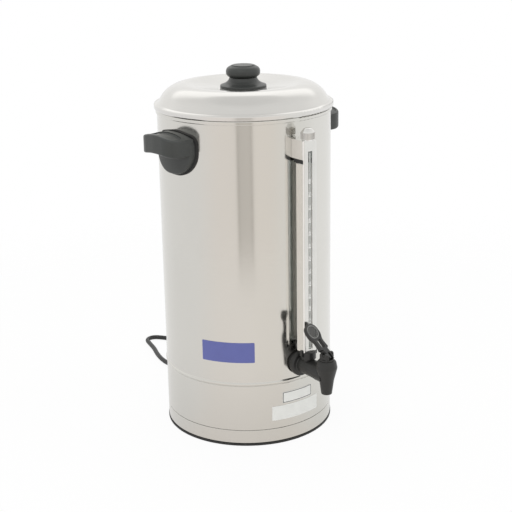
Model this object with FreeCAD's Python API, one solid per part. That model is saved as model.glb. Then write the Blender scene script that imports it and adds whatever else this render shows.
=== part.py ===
import FreeCAD, Part
import math
import os

# Coffee urn: a stainless steel tank on a heater base, with a dished lid, two cup handles,
# a sight gauge that stands on the tap's arm, and a self-closing lever tap.
# Millimetres. Z is up, the origin is on the tank's axis in the plane that the urn stands on,
# the tap points along -Y and the power cord leaves along +Y.

V = FreeCAD.Vector
UP = V(0, 0, 1)

# Tank and base, from the floor up
body_radius = 115.0
sheet = 0.8
foot_reach = 0.6
foot_width = 3.2
ring_top = 22.0
seam_bottom = 86.0
seam_top = 92.0
seam_bead = 1.3
tank_floor = 95.0
floor_sheet = 1.0
floor_flange = 7.0
floor_corner = 4.0
well_radius = 22.0
well_depth = 12.0
well_corner = 3.0
rim_top = 440.0
rim_height = 5.2
rim_reach = 1.6
weld_gap = 0.1
seat_gap = 0.3
running_gap = 0.06

# Bottom ring, cover and its screws
ring_flange_reach = 11.0
ring_flange_level = 3.4
cover_sheet = 1.0
cover_gap = 1.5
cover_screws = 4
cover_screw_angle = 45.0
screw_radius = 2.0
screw_head_radius = 3.9
screw_head_height = 2.0
vent_count = 6
vent_length = 34.0
vent_width = 5.0
vent_circle = 62.0

# Heater under the tank floor
plate_clearance = 0.6
plate_inset = 49.0
plate_height = 4.0
element_circle = 36.0
element_rod = 4.0
warm_inset = 10.0
warm_rod = 3.0
element_sweep = 320.0
terminal_length = 12.0
strap_length = 128.0
strap_width = 16.0
strap_height = 2.5
stud_radius = 4.0
stud_length = 16.0
nut_height = 6.5
nut_across = 13.0
thermostat_inset = 31.0
thermostat_radius = 8.5
thermostat_height = 7.0
thermostat_angles = {"boil_thermostat": 150.0, "cutout_thermostat": 30.0}
block_length = 44.0
block_width = 18.0
block_height = 14.0
block_inset = 39.0
block_bays = 4

# Lid
lid_dish_rise = 25.5
lid_dish_radius = 34.0
lid_dish_round = 60.0
lid_crown_rise = 31.6
lid_crown_inset = 37.0
lid_crown_round = 40.0
lid_shoulder = ((22.0, 28.8, 30), (10.0, 20.8, 30))
lid_foot_inset = 1.6
lid_foot_rise = 7.8
lid_overhang = 3.5
lid_rim_height = 6.4
lid_rim_thick = 3.0
lid_sheet = 0.8
lid_ring_gap = 1.6
lid_ring_depth = 8.0
lid_ring_turn = 4.7

# Lid knob
skirt_radius = 30.5
skirt_neck = 18.0
skirt_height = 12.0
skirt_wall = 2.4
head_radius = 22.5
head_bottom = 12.8
head_height = 16.0
head_disc_radius = 14.7
head_groove = 0.6
knob_screw_radius = 2.5
knob_screw_depth = 12.0
knob_washer_radius = 9.0
knob_washer = 1.2

# Handles, one on each side, each a few degrees round from square to the tap
handle_turns = {"left": 186.0, "right": 3.0}
gasket_half_width = 36.4
gasket_top = 424.5
gasket_bottom = 366.0
gasket_lobe = 32.5
gasket_shoulder = 13.0
gasket_crown = 6.0
gasket_thick = 2.5
handle_inset = 2.4
handle_pad = 7.0
pad_round = 2.2
ledge_half_width = 33.2
ledge_reach = 37.0
ledge_corner = 19.0
ledge_low_end = 392.8
ledge_low_middle = 398.6
ledge_high_end = 415.2
ledge_high_middle = 422.6
ledge_wall = 4.5
ledge_round = 2.6
finger_roof = 410.0
thumb_floor = 412.2
thumb_margin = 5.6
handle_screw_spread = 36.0
handle_screw_level = 388.0
handle_screw_radius = 2.5
handle_screw_depth = 8.0
handle_screw_head = 4.5

# Sight gauge, in front of the tank above the tap
gauge_reach = 20.4
tube_radius = 3.7
tube_wall = 1.1
tube_foot = 119.0
tube_top = 406.0
bracket_bottom = 390.5
bracket_top = 414.5
bracket_half_width = 9.6
bracket_stud_level = 402.0
bracket_stud_radius = 3.0
bracket_stud_length = 9.0
bracket_nut_across = 10.0
bracket_nut_height = 4.0
cap_boss_radius = 6.0
cap_boss_height = 7.0
cap_radius = 8.6
cap_height = 14.6
cap_dome = 5.0
cap_lift = 1.0
collar_height = 5.0
collar_inner_reach = 4.0
channel_half_width = 10.5
channel_sheet = 1.0
channel_face = 25.2
channel_depth = 15.0
channel_bottom = 134.4
slot_half_width = 3.2
slot_bottom = 138.0
slot_top = 401.0
gauge_nut_radius = 10.1
gauge_nut_height = 10.5
wing_reach = 12.5
wing_width = 5.0
wing_top = 136.6

# Tap arm through the tank wall
tap_level = 112.0
tap_reach = 58.0
arm_radius = 11.4
arm_bore = 5.5
flange_radius = 17.2
flange_thick = 6.4
tap_gasket_thick = 2.4
tap_gasket_radius = 15.5
shank_radius = 10.0
shank_length = 24.0
tap_nut_across = 28.0
tap_nut_height = 8.0
tee_radius = 7.6
tee_top = 128.0
arm_end_reach = 42.0
spigot_radius = 8.5
spigot_length = 6.0

# Valve body on the end of the arm
spout_bottom = 86.5
spout_radius = 7.0
spout_bore = 4.6
valve_waist = 9.6
valve_waist_level = 105.6
valve_flare = 11.9
valve_flare_level = 114.5
valve_belly = 14.0
valve_belly_level = 123.0
valve_top = 133.0
valve_top_radius = 10.9
chamber_radius = 8.8
chamber_floor = 108.0
inlet_radius = 3.4
seat_lip = 1.5
seat_lip_wall = 1.2

# Bonnet, stem and seat cup
bonnet_turn = 20.0
bonnet_radius = 9.4
bonnet_plate = 2.2
bonnet_spigot = 6.0
lug_inner = 5.1
lug_thick = 2.9
lug_half_length = 6.8
lug_height = 8.6
pin_rise = 5.8
pin_radius = 1.5
pin_slot_gap = 0.3
stem_radius = 2.5
stem_flat = 1.5
stem_disc_radius = 6.2
stem_disc = 1.6
cup_radius = 7.4
cup_height = 9.0
cup_pad = 3.0
cup_wall = 1.0
spring_radius = 4.2
spring_wire = 0.8
spring_turns = 5

# Lever: the heel is an involute of a circle, so the stem rises evenly as the lever turns
lever_lean = 48.8
lever_range = 60.0
stem_lift = 2.5
lever_length = 44.5
hub_half_width = 4.75
hub_radius = 5.5
stalk_half_width = 8.2
stalk_start = 7.6
stalk_thick = 4.4
paddle_half_width = 12.0
paddle_length = 25.0
paddle_thick = 4.4
paddle_recess = 0.9
paddle_rim = 1.9
lever_slot_half_width = 3.6
lever_slot_start = 9.4
lever_slot_end = 21.4

# Percolator: pump foot in the heating well, pump tube, brew basket and spreader
foot_radius = 17.5
foot_rise = 13.0
foot_sheet = 1.0
pump_radius = 6.0
pump_wall = 0.8
pump_top = 438.0
basket_radius = 82.0
basket_bottom = 330.0
basket_height = 74.0
basket_sleeve = 30.0
stop_radius = 9.5
stop_height = 3.0
hole_radius = 2.2
hole_circles = (26.0, 50.0, 70.0)
hole_counts = (10, 18, 24)
spreader_inset = 3.0
spreader_rim = 6.0
spreader_circles = (30.0, 56.0)
spreader_counts = (10, 16)

# Power cord: gland at the back of the base, one free stretch on the floor, a coil and a plug
cord_radius = 3.5
gland_level = 30.0
gland_radius = 8.5
gland_flange = 2.6
gland_length = 16.0
gland_tip = 5.2
cord_route = (
    (0.0, 131.3, 30.0), (0.0, 147.0, 30.0), (-2.0, 166.0, 22.5), (-5.0, 184.0, 11.0),
    (-7.0, 206.0, 3.8), (-6.0, 229.0, 3.6), (0.0, 254.0, 3.6), (9.0, 278.0, 3.6),
    (14.0, 300.0, 3.6), (19.0, 319.0, 3.6), (34.0, 323.0, 3.6), (48.0, 306.0, 3.6),
    (60.0, 283.0, 3.6), (68.5, 258.5, 3.6), (74.0, 235.0, 3.6))
coil_radius = 46.0
coil_turns = 3
coil_pitch = 7.6
# The tail's points are steps along and to the left of the way it leaves the coil, and heights
tail_steps = (
    (0.0, 0.0, 11.2), (20.0, 0.0, 11.2), (40.0, -2.0, 8.2), (59.0, -7.0, 6.4),
    (77.0, -14.0, 7.4), (93.0, -23.0, 9.1), (108.0, -33.0, 9.1))
plug_length = 34.0
plug_width = 26.0
plug_height = 18.0
plug_neck = 10.0
blade_length = 16.0
blade_width = 6.4
blade_thick = 1.5
blade_spread = 12.7
ground_radius = 2.4
ground_drop = 3.6


# Plane outlines

def corner_wire(corners, closed):
    """Straight runs joined by tangent arcs, in the XY plane, from (x, y, corner radius)."""
    points = [V(c[0], c[1], 0) for c in corners]
    radii = [c[2] if len(c) > 2 else 0.0 for c in corners]
    count = len(points)
    entries = []
    for i in range(count):
        if radii[i] <= 0 or (not closed and i in (0, count - 1)):
            entries.append((points[i], None, points[i]))
            continue
        back = (points[i - 1] - points[i]).normalize()
        ahead = (points[(i + 1) % count] - points[i]).normalize()
        half = back.getAngle(ahead) / 2
        reach = radii[i] / math.tan(half)
        middle = (back + ahead).normalize()
        centre = points[i] + middle * (radii[i] / math.sin(half))
        entries.append((points[i] + back * reach, centre - middle * radii[i], points[i] + ahead * reach))
    edges = []
    for i, (start, on_arc, end) in enumerate(entries):
        if on_arc is not None:
            edges.append(Part.Arc(start, on_arc, end).toShape())
        if i + 1 < count or closed:
            nearest = entries[(i + 1) % count][0]
            if end.distanceToPoint(nearest) > 1e-6:
                edges.append(Part.LineSegment(end, nearest).toShape())
    return Part.Wire(edges)


def upright(shape):
    """Turn a shape drawn in the XY plane up into the XZ plane."""
    shape.rotate(V(0, 0, 0), V(1, 0, 0), 90)
    return shape


def turned(corners):
    """A solid of revolution about Z, from a closed outline of (radius, height, corner radius)."""
    face = upright(Part.Face(corner_wire(corners, True)))
    return face.revolve(V(0, 0, 0), UP, 360)


def shifted_outline(corners, shift):
    """An open outline moved to its left, its corner radii changed to stay concentric."""
    points = [V(c[0], c[1], 0) for c in corners]
    radii = [c[2] if len(c) > 2 else 0.0 for c in corners]
    ways = [(b - a).normalize() for a, b in zip(points, points[1:])]
    sides = [V(-w.y, w.x, 0) for w in ways]
    first = points[0] + sides[0] * shift
    last = points[-1] + sides[-1] * shift
    moved_corners = [(first.x, first.y)]
    for point, radius, side, next_side, way, next_way in zip(
            points[1:-1], radii[1:-1], sides, sides[1:], ways, ways[1:]):
        middle = (side + next_side).normalize()
        at = point + middle * (shift / middle.dot(side))
        left_turn = way.x * next_way.y - way.y * next_way.x > 0
        new_radius = radius - shift if left_turn else radius + shift
        moved_corners.append((at.x, at.y, max(new_radius, 0.0) if radius > 0 else 0.0))
    moved_corners.append((last.x, last.y))
    return moved_corners


def turned_sheet(corners, thick):
    """Sheet metal of revolution: the open outline is one skin, the other lies thick to its left."""
    near = corner_wire(corners, False)
    far = corner_wire(shifted_outline(corners, thick), False)
    near_ends = (V(corners[0][0], corners[0][1], 0), V(corners[-1][0], corners[-1][1], 0))
    far_corners = shifted_outline(corners, thick)
    far_ends = (V(far_corners[0][0], far_corners[0][1], 0), V(far_corners[-1][0], far_corners[-1][1], 0))
    ends = [Part.LineSegment(a, b).toShape() for a, b in zip(near_ends, far_ends)]
    face = Part.Face(Part.Wire(Part.sortEdges(near.Edges + far.Edges + ends)[0]))
    return upright(face).revolve(V(0, 0, 0), UP, 360)


def prism(corners, low, high):
    """An outline in the XY plane, extruded from one height to another."""
    face = Part.Face(corner_wire(corners, True))
    face.translate(V(0, 0, low))
    return face.extrude(V(0, 0, high - low))


def disc(radius, low, high):
    return Part.makeCylinder(radius, high - low, V(0, 0, low), UP)


def ring(outer, inner, low, high):
    return disc(outer, low, high).cut(disc(inner, low - 1, high + 1))


def rod(radius, start, end):
    """A round bar between two points."""
    run = end - start
    return Part.makeCylinder(radius, run.Length, start, run)


def hexagon(across, low, high):
    corner = across / math.sqrt(3)
    points = [(corner * math.cos(math.radians(60 * k)), corner * math.sin(math.radians(60 * k)))
              for k in range(6)]
    return prism(points, low, high)


def spun(shape, degrees):
    copy = shape.copy()
    copy.rotate(V(0, 0, 0), UP, degrees)
    return copy


def moved(shape, x, y, z):
    copy = shape.copy()
    copy.translate(V(x, y, z))
    return copy


def joined(shapes):
    whole = shapes[0]
    for shape in shapes[1:]:
        whole = whole.fuse(shape)
    return whole.removeSplitter()


def facing_tap(shape):
    """Turn a shape drawn along +Z so that it points along -Y, out of the tank."""
    copy = shape.copy()
    copy.rotate(V(0, 0, 0), V(1, 0, 0), 90)
    return copy


def arc_at_corner(start, corner, end):
    """The arc that leaves start and reaches end along the two equal sides meeting at the corner."""
    back = start - corner
    ahead = end - corner
    side = back.Length
    half = back.getAngle(ahead) / 2
    radius = side * math.tan(half)
    middle = (back.normalize() + ahead.normalize()).normalize()
    on_arc = corner + middle * (radius / math.sin(half) - radius)
    return Part.Arc(start, on_arc, end).toShape()


def biarc_wire(stations):
    """One wire through points with given directions, two tangent arcs from each to the next."""
    edges = []
    for (p0, t0), (p1, t1) in zip(stations, stations[1:]):
        v = p1 - p0
        t = t0 + t1
        a = 2 * (1 - t0.dot(t1))
        b = v.dot(t)
        reach = (-b + math.sqrt(b * b + a * v.dot(v))) / a if a > 1e-9 else v.dot(v) / (4 * v.dot(t1))
        q0 = p0 + t0 * reach
        q1 = p1 - t1 * reach
        middle = (q0 + q1) * 0.5
        for start, corner, end in ((p0, q0, middle), (middle, q1, p1)):
            edges.append(arc_at_corner(start, corner, end))
    return Part.Wire(edges)


def with_straight_ends(path, stations, run):
    """The path with a short straight run added at each end."""
    first, first_way = stations[0]
    last, last_way = stations[-1]
    lead_in = Part.LineSegment(first - first_way * run, first).toShape()
    lead_out = Part.LineSegment(last, last + last_way * run).toShape()
    return Part.Wire([lead_in] + path.Edges + [lead_out])


def tube_along(path, start, direction, radius, label):
    circle = Part.Wire(Part.Circle(start, direction, radius).toShape())
    tube = path.makePipeShell([circle], True, False)
    expected = path.Length * math.pi * radius ** 2
    print(label, "length %.0f mm, volume ratio %.4f" % (path.Length, tube.Volume / expected))
    return tube


parts = {}
inner_radius = body_radius - sheet


# Tank

def handle_frame(side):
    """Degrees about Z that carry a handle drawn on +X to its side of the tank."""
    return handle_turns[side]


def handle_screw_points():
    return [(y, handle_screw_level) for y in (-handle_screw_spread / 2, handle_screw_spread / 2)]


def make_tank_wall():
    wall = turned_sheet([
        (body_radius, seam_bottom), (body_radius, seam_bottom + 0.4, 0.8),
        (body_radius + seam_bead, seam_bottom + 2.2, 1.2), (body_radius + seam_bead, seam_top - 2.2, 1.2),
        (body_radius, seam_top - 0.4, 0.8), (body_radius, rim_top - rim_height / 2)], sheet)
    low = rim_top - rim_height
    edge = (rim_reach + sheet) / 2 - 0.01
    rim = turned([
        (inner_radius, low, edge), (body_radius + rim_reach, low, edge),
        (body_radius + rim_reach, rim_top, edge), (inner_radius, rim_top, edge)])
    wall = wall.fuse(rim)
    holes = [rod(shank_radius + seat_gap, V(0, 0, tap_level), V(0, -body_radius - 5, tap_level)),
             rod(bracket_stud_radius + seat_gap, V(0, 0, bracket_stud_level),
                 V(0, -body_radius - 5, bracket_stud_level))]
    for side in ("left", "right"):
        for y, z in handle_screw_points():
            hole = rod(handle_screw_radius + seat_gap, V(body_radius / 2, y, z), V(body_radius + 5, y, z))
            holes.append(spun(hole, handle_frame(side)))
    return wall.cut(holes[0].multiFuse(holes[1:]))


well_floor = tank_floor - well_depth


def make_tank_bottom():
    flange = inner_radius - weld_gap
    return turned_sheet([
        (0, well_floor), (well_radius, well_floor, well_corner), (well_radius, tank_floor, well_corner),
        (flange, tank_floor, floor_corner), (flange, tank_floor - floor_flange)], -floor_sheet)


parts["tank_wall"] = make_tank_wall()
parts["tank_bottom"] = make_tank_bottom()


# Base

def make_base_shell():
    lip = inner_radius - weld_gap - floor_sheet - weld_gap
    skirt = inner_radius - weld_gap
    lip_top = tank_floor - floor_corner - weld_gap
    shell = turned_sheet([
        (skirt, ring_top - 8), (skirt, ring_top + 0.5, 0.2), (body_radius, ring_top + 0.5, 0.6),
        (body_radius, seam_bottom - weld_gap, 0.6), (lip, seam_bottom - weld_gap, 0.2),
        (lip, lip_top)], sheet)
    gland_hole = rod(
        gland_radius - gland_flange, V(0, body_radius / 2, gland_level), V(0, body_radius + 5, gland_level))
    return shell.cut(gland_hole)


cover_radius = body_radius - sheet - cover_gap
cover_bottom = ring_flange_level + sheet
screw_circle = body_radius - ring_flange_reach + 4.0


def cover_screw_places():
    return [cover_screw_angle + 360.0 / cover_screws * k for k in range(cover_screws)]


def make_base_ring():
    ring_body = turned_sheet([
        (body_radius - ring_flange_reach, ring_flange_level), (body_radius, ring_flange_level, 1.2),
        (body_radius, ring_top, 0.4), (body_radius - 0.5, ring_top)], sheet)
    for angle in cover_screw_places():
        hole = moved(disc(screw_radius + seat_gap, 0, 10), screw_circle, 0, 0)
        ring_body = ring_body.cut(spun(hole, angle))
    return ring_body


def make_foot_trim():
    outer = body_radius + foot_reach
    inner = outer - foot_width
    top = ring_flange_level - weld_gap
    return turned([(inner, 0, 0.4), (outer, 0, 0.6), (outer, top, 0.6), (inner, top, 0.4)])


def make_bottom_cover():
    cover = disc(cover_radius, cover_bottom, cover_bottom + cover_sheet)
    vent = prism([
        (vent_circle - vent_length / 2, -vent_width / 2, vent_width / 2 - 0.01),
        (vent_circle + vent_length / 2, -vent_width / 2, vent_width / 2 - 0.01),
        (vent_circle + vent_length / 2, vent_width / 2, vent_width / 2 - 0.01),
        (vent_circle - vent_length / 2, vent_width / 2, vent_width / 2 - 0.01)],
        cover_bottom - 1, cover_bottom + cover_sheet + 1)
    cuts = [spun(vent, 360.0 / vent_count * k) for k in range(vent_count)]
    for angle in cover_screw_places():
        cuts.append(spun(moved(disc(screw_radius, 0, 10), screw_circle, 0, 0), angle))
    return cover.cut(cuts[0].multiFuse(cuts[1:]))


def make_cover_screws():
    head_top = ring_flange_level - weld_gap
    head = turned([
        (0, head_top - screw_head_height), (screw_head_radius, head_top - screw_head_height, 1.2),
        (screw_head_radius, head_top), (0, head_top)])
    screw = head.fuse(disc(screw_radius - weld_gap, head_top - 0.5, cover_bottom + cover_sheet + 6))
    return Part.makeCompound([
        spun(moved(screw, screw_circle, 0, 0), angle) for angle in cover_screw_places()])


parts["base_shell"] = make_base_shell()
parts["base_ring"] = make_base_ring()
parts["foot_trim"] = make_foot_trim()
parts["bottom_cover"] = make_bottom_cover()
parts["cover_screws"] = make_cover_screws()


# Heater

plate_inner = well_radius + well_corner + floor_sheet + plate_clearance
plate_outer = body_radius - plate_inset
warm_circle = plate_outer - warm_inset
plate_top = tank_floor - floor_sheet - weld_gap
plate_bottom = plate_top - plate_height


def make_rod_element(circle, radius, start_angle):
    """An open ring of heater rod under the plate, with both ends turned down as terminals."""
    level = plate_bottom - weld_gap - radius
    element = Part.makeTorus(circle, radius, V(0, 0, level), UP, 0, 360, element_sweep)
    inset = math.degrees(radius / circle)
    for angle in (inset, element_sweep - inset):
        at = V(circle * math.cos(math.radians(angle)), circle * math.sin(math.radians(angle)), level)
        element = element.fuse(rod(radius * 0.7, at, at - UP * terminal_length))
    return spun(element, start_angle)


strap_top = plate_bottom - weld_gap - 2 * element_rod - weld_gap
strap_bottom = strap_top - strap_height


def make_heater_strap():
    strap = prism([
        (-strap_length / 2, -strap_width / 2, 4), (strap_length / 2, -strap_width / 2, 4),
        (strap_length / 2, strap_width / 2, 4), (-strap_length / 2, strap_width / 2, 4)],
        strap_bottom, strap_top)
    return strap.cut(disc(stud_radius + seat_gap, strap_bottom - 1, strap_top + 1))


def make_thermostat():
    """A disc thermostat against the tank floor, with two blade terminals."""
    top = tank_floor - floor_sheet - weld_gap
    can = turned([
        (0, top - 3.0), (thermostat_radius, top - 3.0), (thermostat_radius, top, 0.6), (0, top)])
    base = disc(thermostat_radius - 1.0, top - thermostat_height, top - 2.9)
    ears = Part.makeBox(2 * thermostat_radius + 9, 7, 0.8,
                        V(-thermostat_radius - 4.5, -3.5, top - 3.0))
    blades = [Part.makeBox(0.8, 6.0, 8.0, V(x, -3.0, top - thermostat_height - 7.9)) for x in (-4.4, 3.6)]
    return moved(joined([can, base, ears] + blades), body_radius - thermostat_inset, 0, 0)


def make_terminal_block():
    low = cover_bottom + cover_sheet
    block = prism([
        (-block_length / 2, -block_width / 2, 1.5), (block_length / 2, -block_width / 2, 1.5),
        (block_length / 2, block_width / 2, 1.5), (-block_length / 2, block_width / 2, 1.5)],
        low, low + block_height)
    bay = block_length / block_bays
    for k in range(block_bays):
        x = -block_length / 2 + bay * (k + 0.5)
        block = block.cut(Part.makeBox(bay - 2.5, block_width - 6, 6,
                                       V(x - bay / 2 + 1.25, -block_width / 2 + 3, low + block_height - 5)))
    return moved(block, 0, body_radius - block_inset, 0)


parts["heater_plate"] = ring(plate_outer, plate_inner, plate_bottom, plate_top)
parts["main_element"] = make_rod_element(element_circle, element_rod, 110.0)
parts["keep_warm_element"] = make_rod_element(warm_circle, warm_rod, 110.0)
parts["heater_strap"] = make_heater_strap()
parts["heater_stud"] = disc(stud_radius, well_floor - floor_sheet - stud_length, well_floor - floor_sheet)
parts["heater_nut"] = hexagon(nut_across, strap_bottom - nut_height, strap_bottom).cut(
    disc(stud_radius + weld_gap, strap_bottom - nut_height - 1, strap_bottom + 1))
for name, angle in thermostat_angles.items():
    parts[name] = spun(make_thermostat(), angle)
parts["terminal_block"] = make_terminal_block()


# Lid and its knob

lid_low = rim_top + seat_gap
lid_rim_radius = body_radius + lid_overhang
lid_rim_inside = lid_rim_radius - lid_rim_thick
lid_dish_level = rim_top + lid_dish_rise


def make_lid():
    """The pressed dome with its rolled rim."""
    middle = lid_rim_radius - lid_rim_thick / 2
    foot_level = rim_top + lid_foot_rise
    shoulder = [(body_radius - inset, rim_top + rise, corner) for inset, rise, corner in lid_shoulder]
    dome = turned_sheet([
        (knob_screw_radius + seat_gap, lid_dish_level), (lid_dish_radius, lid_dish_level, lid_dish_round),
        (body_radius - lid_crown_inset, rim_top + lid_crown_rise, lid_crown_round), *shoulder,
        (body_radius - lid_foot_inset, foot_level, 3.0), (middle, foot_level - 1.8)], -lid_sheet)
    edge = lid_rim_thick / 2 - 0.01
    high = lid_low + lid_rim_height
    rim = turned([
        (lid_rim_inside, lid_low, edge), (lid_rim_radius, lid_low, edge),
        (lid_rim_radius, high, edge), (lid_rim_inside, high, edge)])
    return dome.fuse(rim)


def make_lid_ring():
    """The strip inside the rim that centres the lid in the tank, turned up where the rim holds it."""
    ring_radius = inner_radius - lid_ring_gap
    edge = lid_rim_inside - weld_gap
    return turned_sheet([
        (ring_radius, rim_top - lid_ring_depth), (ring_radius, lid_low, 1.0),
        (edge, lid_low, 1.0), (edge, lid_low + lid_ring_turn)], lid_sheet)


knob_base = lid_dish_level + 0.1


def make_knob_skirt():
    top = knob_base + skirt_height
    outer = turned([
        (0, knob_base), (skirt_radius, knob_base), (skirt_radius, knob_base + 2.0, 0.8),
        (skirt_neck + 6.0, knob_base + 4.4, 10), (skirt_neck + 1.6, knob_base + 8.2, 8),
        (skirt_neck, top), (0, top)])
    hollow = turned([
        (knob_screw_radius + 5, knob_base - 1), (skirt_radius - skirt_wall, knob_base - 1),
        (skirt_radius - skirt_wall, knob_base + 1.0), (knob_screw_radius + 5, knob_base + 3.0)])
    bore = disc(knob_screw_radius + seat_gap, knob_base - 1, top + 1)
    return outer.cut(hollow).cut(bore)


def make_knob_head():
    low = knob_base + head_bottom - 0.7
    top = low + head_height
    head = turned([
        (0, low), (skirt_neck - 2.0, low), (skirt_neck + 1.0, low + 0.9, 1.0), (head_radius, low + 3.2, 5.5),
        (head_radius, top - 4.2, 6.5), (head_disc_radius + 1.0, top - 0.6, 0.5),
        (head_disc_radius + head_groove, top - 1.4),
        (head_disc_radius, top - 1.4), (head_disc_radius, top, 0.7), (0, top)])
    return head.cut(disc(knob_screw_radius, low - 1, low + knob_screw_depth))


def make_knob_screw():
    under = lid_dish_level - lid_sheet - knob_washer - weld_gap
    head = turned([(0, under - 3.0), (4.6, under - 3.0, 1.6), (4.6, under), (0, under)])
    shank_top = knob_base + head_bottom + knob_screw_depth - 2.0
    return head.fuse(disc(knob_screw_radius - weld_gap, under - 0.5, shank_top))


washer_top = lid_dish_level - lid_sheet - weld_gap
parts["lid_dome"] = make_lid()
parts["lid_ring"] = make_lid_ring()
parts["knob_skirt"] = make_knob_skirt()
parts["knob_head"] = make_knob_head()
parts["knob_screw"] = make_knob_screw()
parts["knob_washer"] = ring(
    knob_washer_radius, knob_screw_radius + weld_gap, washer_top - knob_washer, washer_top)


# Handles, drawn on +X

def shield(inset):
    """The handle's shield outline in Y and Z, drawn in the XY plane."""
    half = gasket_half_width - inset
    top = gasket_top - inset
    low = gasket_bottom + inset
    shoulder = gasket_shoulder - inset / 2
    lobe = gasket_lobe - inset
    return [
        (-half, top - gasket_crown, shoulder), (0, top, 40), (half, top - gasket_crown, shoulder),
        (half, low, lobe), (-half, low, lobe)]


def outward_prism(corners, near, far):
    """An outline of Y and Z, extruded along +X."""
    solid = prism(corners, near, far)
    solid.rotate(V(0, 0, 0), V(1, 1, 1), 120)
    return solid


def between_cylinders(solid, near, far):
    low, high = solid.BoundBox.ZMin - 1, solid.BoundBox.ZMax + 1
    return solid.common(ring(far, near, low, high))


def make_handle_gasket():
    plate = outward_prism(shield(0), body_radius - 20, body_radius + 10)
    plate = between_cylinders(plate, body_radius + weld_gap, body_radius + weld_gap + gasket_thick)
    for y, z in handle_screw_points():
        plate = plate.cut(rod(handle_screw_radius + seat_gap, V(body_radius / 2, y, z),
                              V(body_radius + 20, y, z)))
    return plate


pad_back = body_radius + gasket_thick + 2 * weld_gap
pad_front = pad_back + handle_pad


def arched_band(half, low_end, low_middle, high_end, high_middle):
    """A band between two arcs, in the XY plane."""
    lower = Part.Arc(V(-half, low_end, 0), V(0, low_middle, 0), V(half, low_end, 0)).toShape()
    upper = Part.Arc(V(half, high_end, 0), V(0, high_middle, 0), V(-half, high_end, 0)).toShape()
    right = Part.LineSegment(V(half, low_end, 0), V(half, high_end, 0)).toShape()
    left = Part.LineSegment(V(-half, high_end, 0), V(-half, low_end, 0)).toShape()
    return Part.Face(Part.Wire([lower, right, upper, left]))


def ledge_plan(inset, back):
    """The ledge seen from above: square at the pad, round at its outer corners."""
    half = ledge_half_width - inset
    out = body_radius + ledge_reach - inset
    corner = ledge_corner - inset
    return [(back, -half), (out - 1.5, -half, corner), (out, 0, 60), (out - 1.5, half, corner), (back, half)]


def make_handle():
    pad = outward_prism(shield(handle_inset), body_radius - 20, body_radius + 12)
    pad = between_cylinders(pad, pad_back, pad_front)
    rims = [e for e in pad.Edges if min(math.hypot(v.X, v.Y) for v in e.Vertexes) > pad_front - 0.1]
    pad = pad.makeFillet(pad_round, rims)
    band = arched_band(
        ledge_half_width + 1, ledge_low_end, ledge_low_middle, ledge_high_end, ledge_high_middle)
    band.rotate(V(0, 0, 0), V(1, 1, 1), 120)
    band.translate(V(body_radius - 10, 0, 0))
    ledge = band.extrude(V(ledge_reach + 14, 0, 0))
    ledge = ledge.common(prism(ledge_plan(0, body_radius - 8), ledge_low_end - 2, ledge_high_middle + 2))
    round_edges = []
    for edge in ledge.Edges:
        box = edge.BoundBox
        at_front = box.XMax > body_radius + ledge_reach - 4
        at_side = box.XMax > body_radius + 12 and box.YLength < 25 and box.XLength > 4
        if at_front or at_side:
            round_edges.append(edge)
    ledge = ledge.makeFillet(ledge_round, round_edges)
    ledge = ledge.cut(disc(pad_back + 1.0, ledge_low_end - 3, ledge_high_middle + 3))
    fingers = prism(ledge_plan(ledge_wall, body_radius), ledge_low_end - 3, finger_roof)
    fingers = fingers.cut(disc(pad_front, ledge_low_end - 4, finger_roof + 1))
    thumb_half = ledge_half_width - thumb_margin
    thumb_end = body_radius + ledge_reach - ledge_wall - 1
    thumb = prism([
        (pad_front + 2.0, -thumb_half, 4), (thumb_end, -thumb_half, 10),
        (thumb_end, thumb_half, 10), (pad_front + 2.0, thumb_half, 4)],
        thumb_floor, ledge_high_middle + 5)
    handle = pad.fuse(ledge).cut(fingers).cut(thumb)
    for y, z in handle_screw_points():
        reach = math.sqrt(pad_front ** 2 - y ** 2) - 3.0
        handle = handle.cut(rod(handle_screw_radius, V(body_radius / 2, y, z), V(reach, y, z)))
    return handle.removeSplitter()


def make_handle_screws():
    screws = []
    for y, z in handle_screw_points():
        wall = math.sqrt(inner_radius ** 2 - (abs(y) + handle_screw_head) ** 2) - weld_gap
        head = rod(handle_screw_head, V(wall - 2.6, y, z), V(wall, y, z))
        tip = math.sqrt(pad_front ** 2 - y ** 2) - 3.5
        screws.append(head.fuse(rod(handle_screw_radius - weld_gap, V(wall - 0.5, y, z), V(tip, y, z))))
    return screws


gasket = make_handle_gasket()
grip = make_handle()
for side in ("left", "right"):
    parts["handle_gasket_" + side] = spun(gasket, handle_frame(side))
    parts["handle_" + side] = spun(grip, handle_frame(side))
parts["handle_screws"] = Part.makeCompound([
    spun(screw, handle_frame(side)) for side in ("left", "right") for screw in make_handle_screws()])


# Sight gauge, drawn about its tube at the origin with the tank towards +Y

gauge_y = -(body_radius + gauge_reach)


def tank_cut(shape, gap):
    """Shape a piece's back to the tank wall."""
    box = shape.BoundBox
    return shape.cut(Part.makeCylinder(body_radius + gap, box.ZLength + 2, V(0, 0, box.ZMin - 1), UP))


def bracket_block(low, high, near, corner):
    """A block with rounded upright edges between the tank and the channel's face."""
    front = -(body_radius + channel_face - channel_sheet - weld_gap)
    return prism([
        (-bracket_half_width, -(body_radius + near), 0.5), (-bracket_half_width, front, corner),
        (bracket_half_width, front, corner), (bracket_half_width, -(body_radius + near), 0.5)], low, high)


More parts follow.
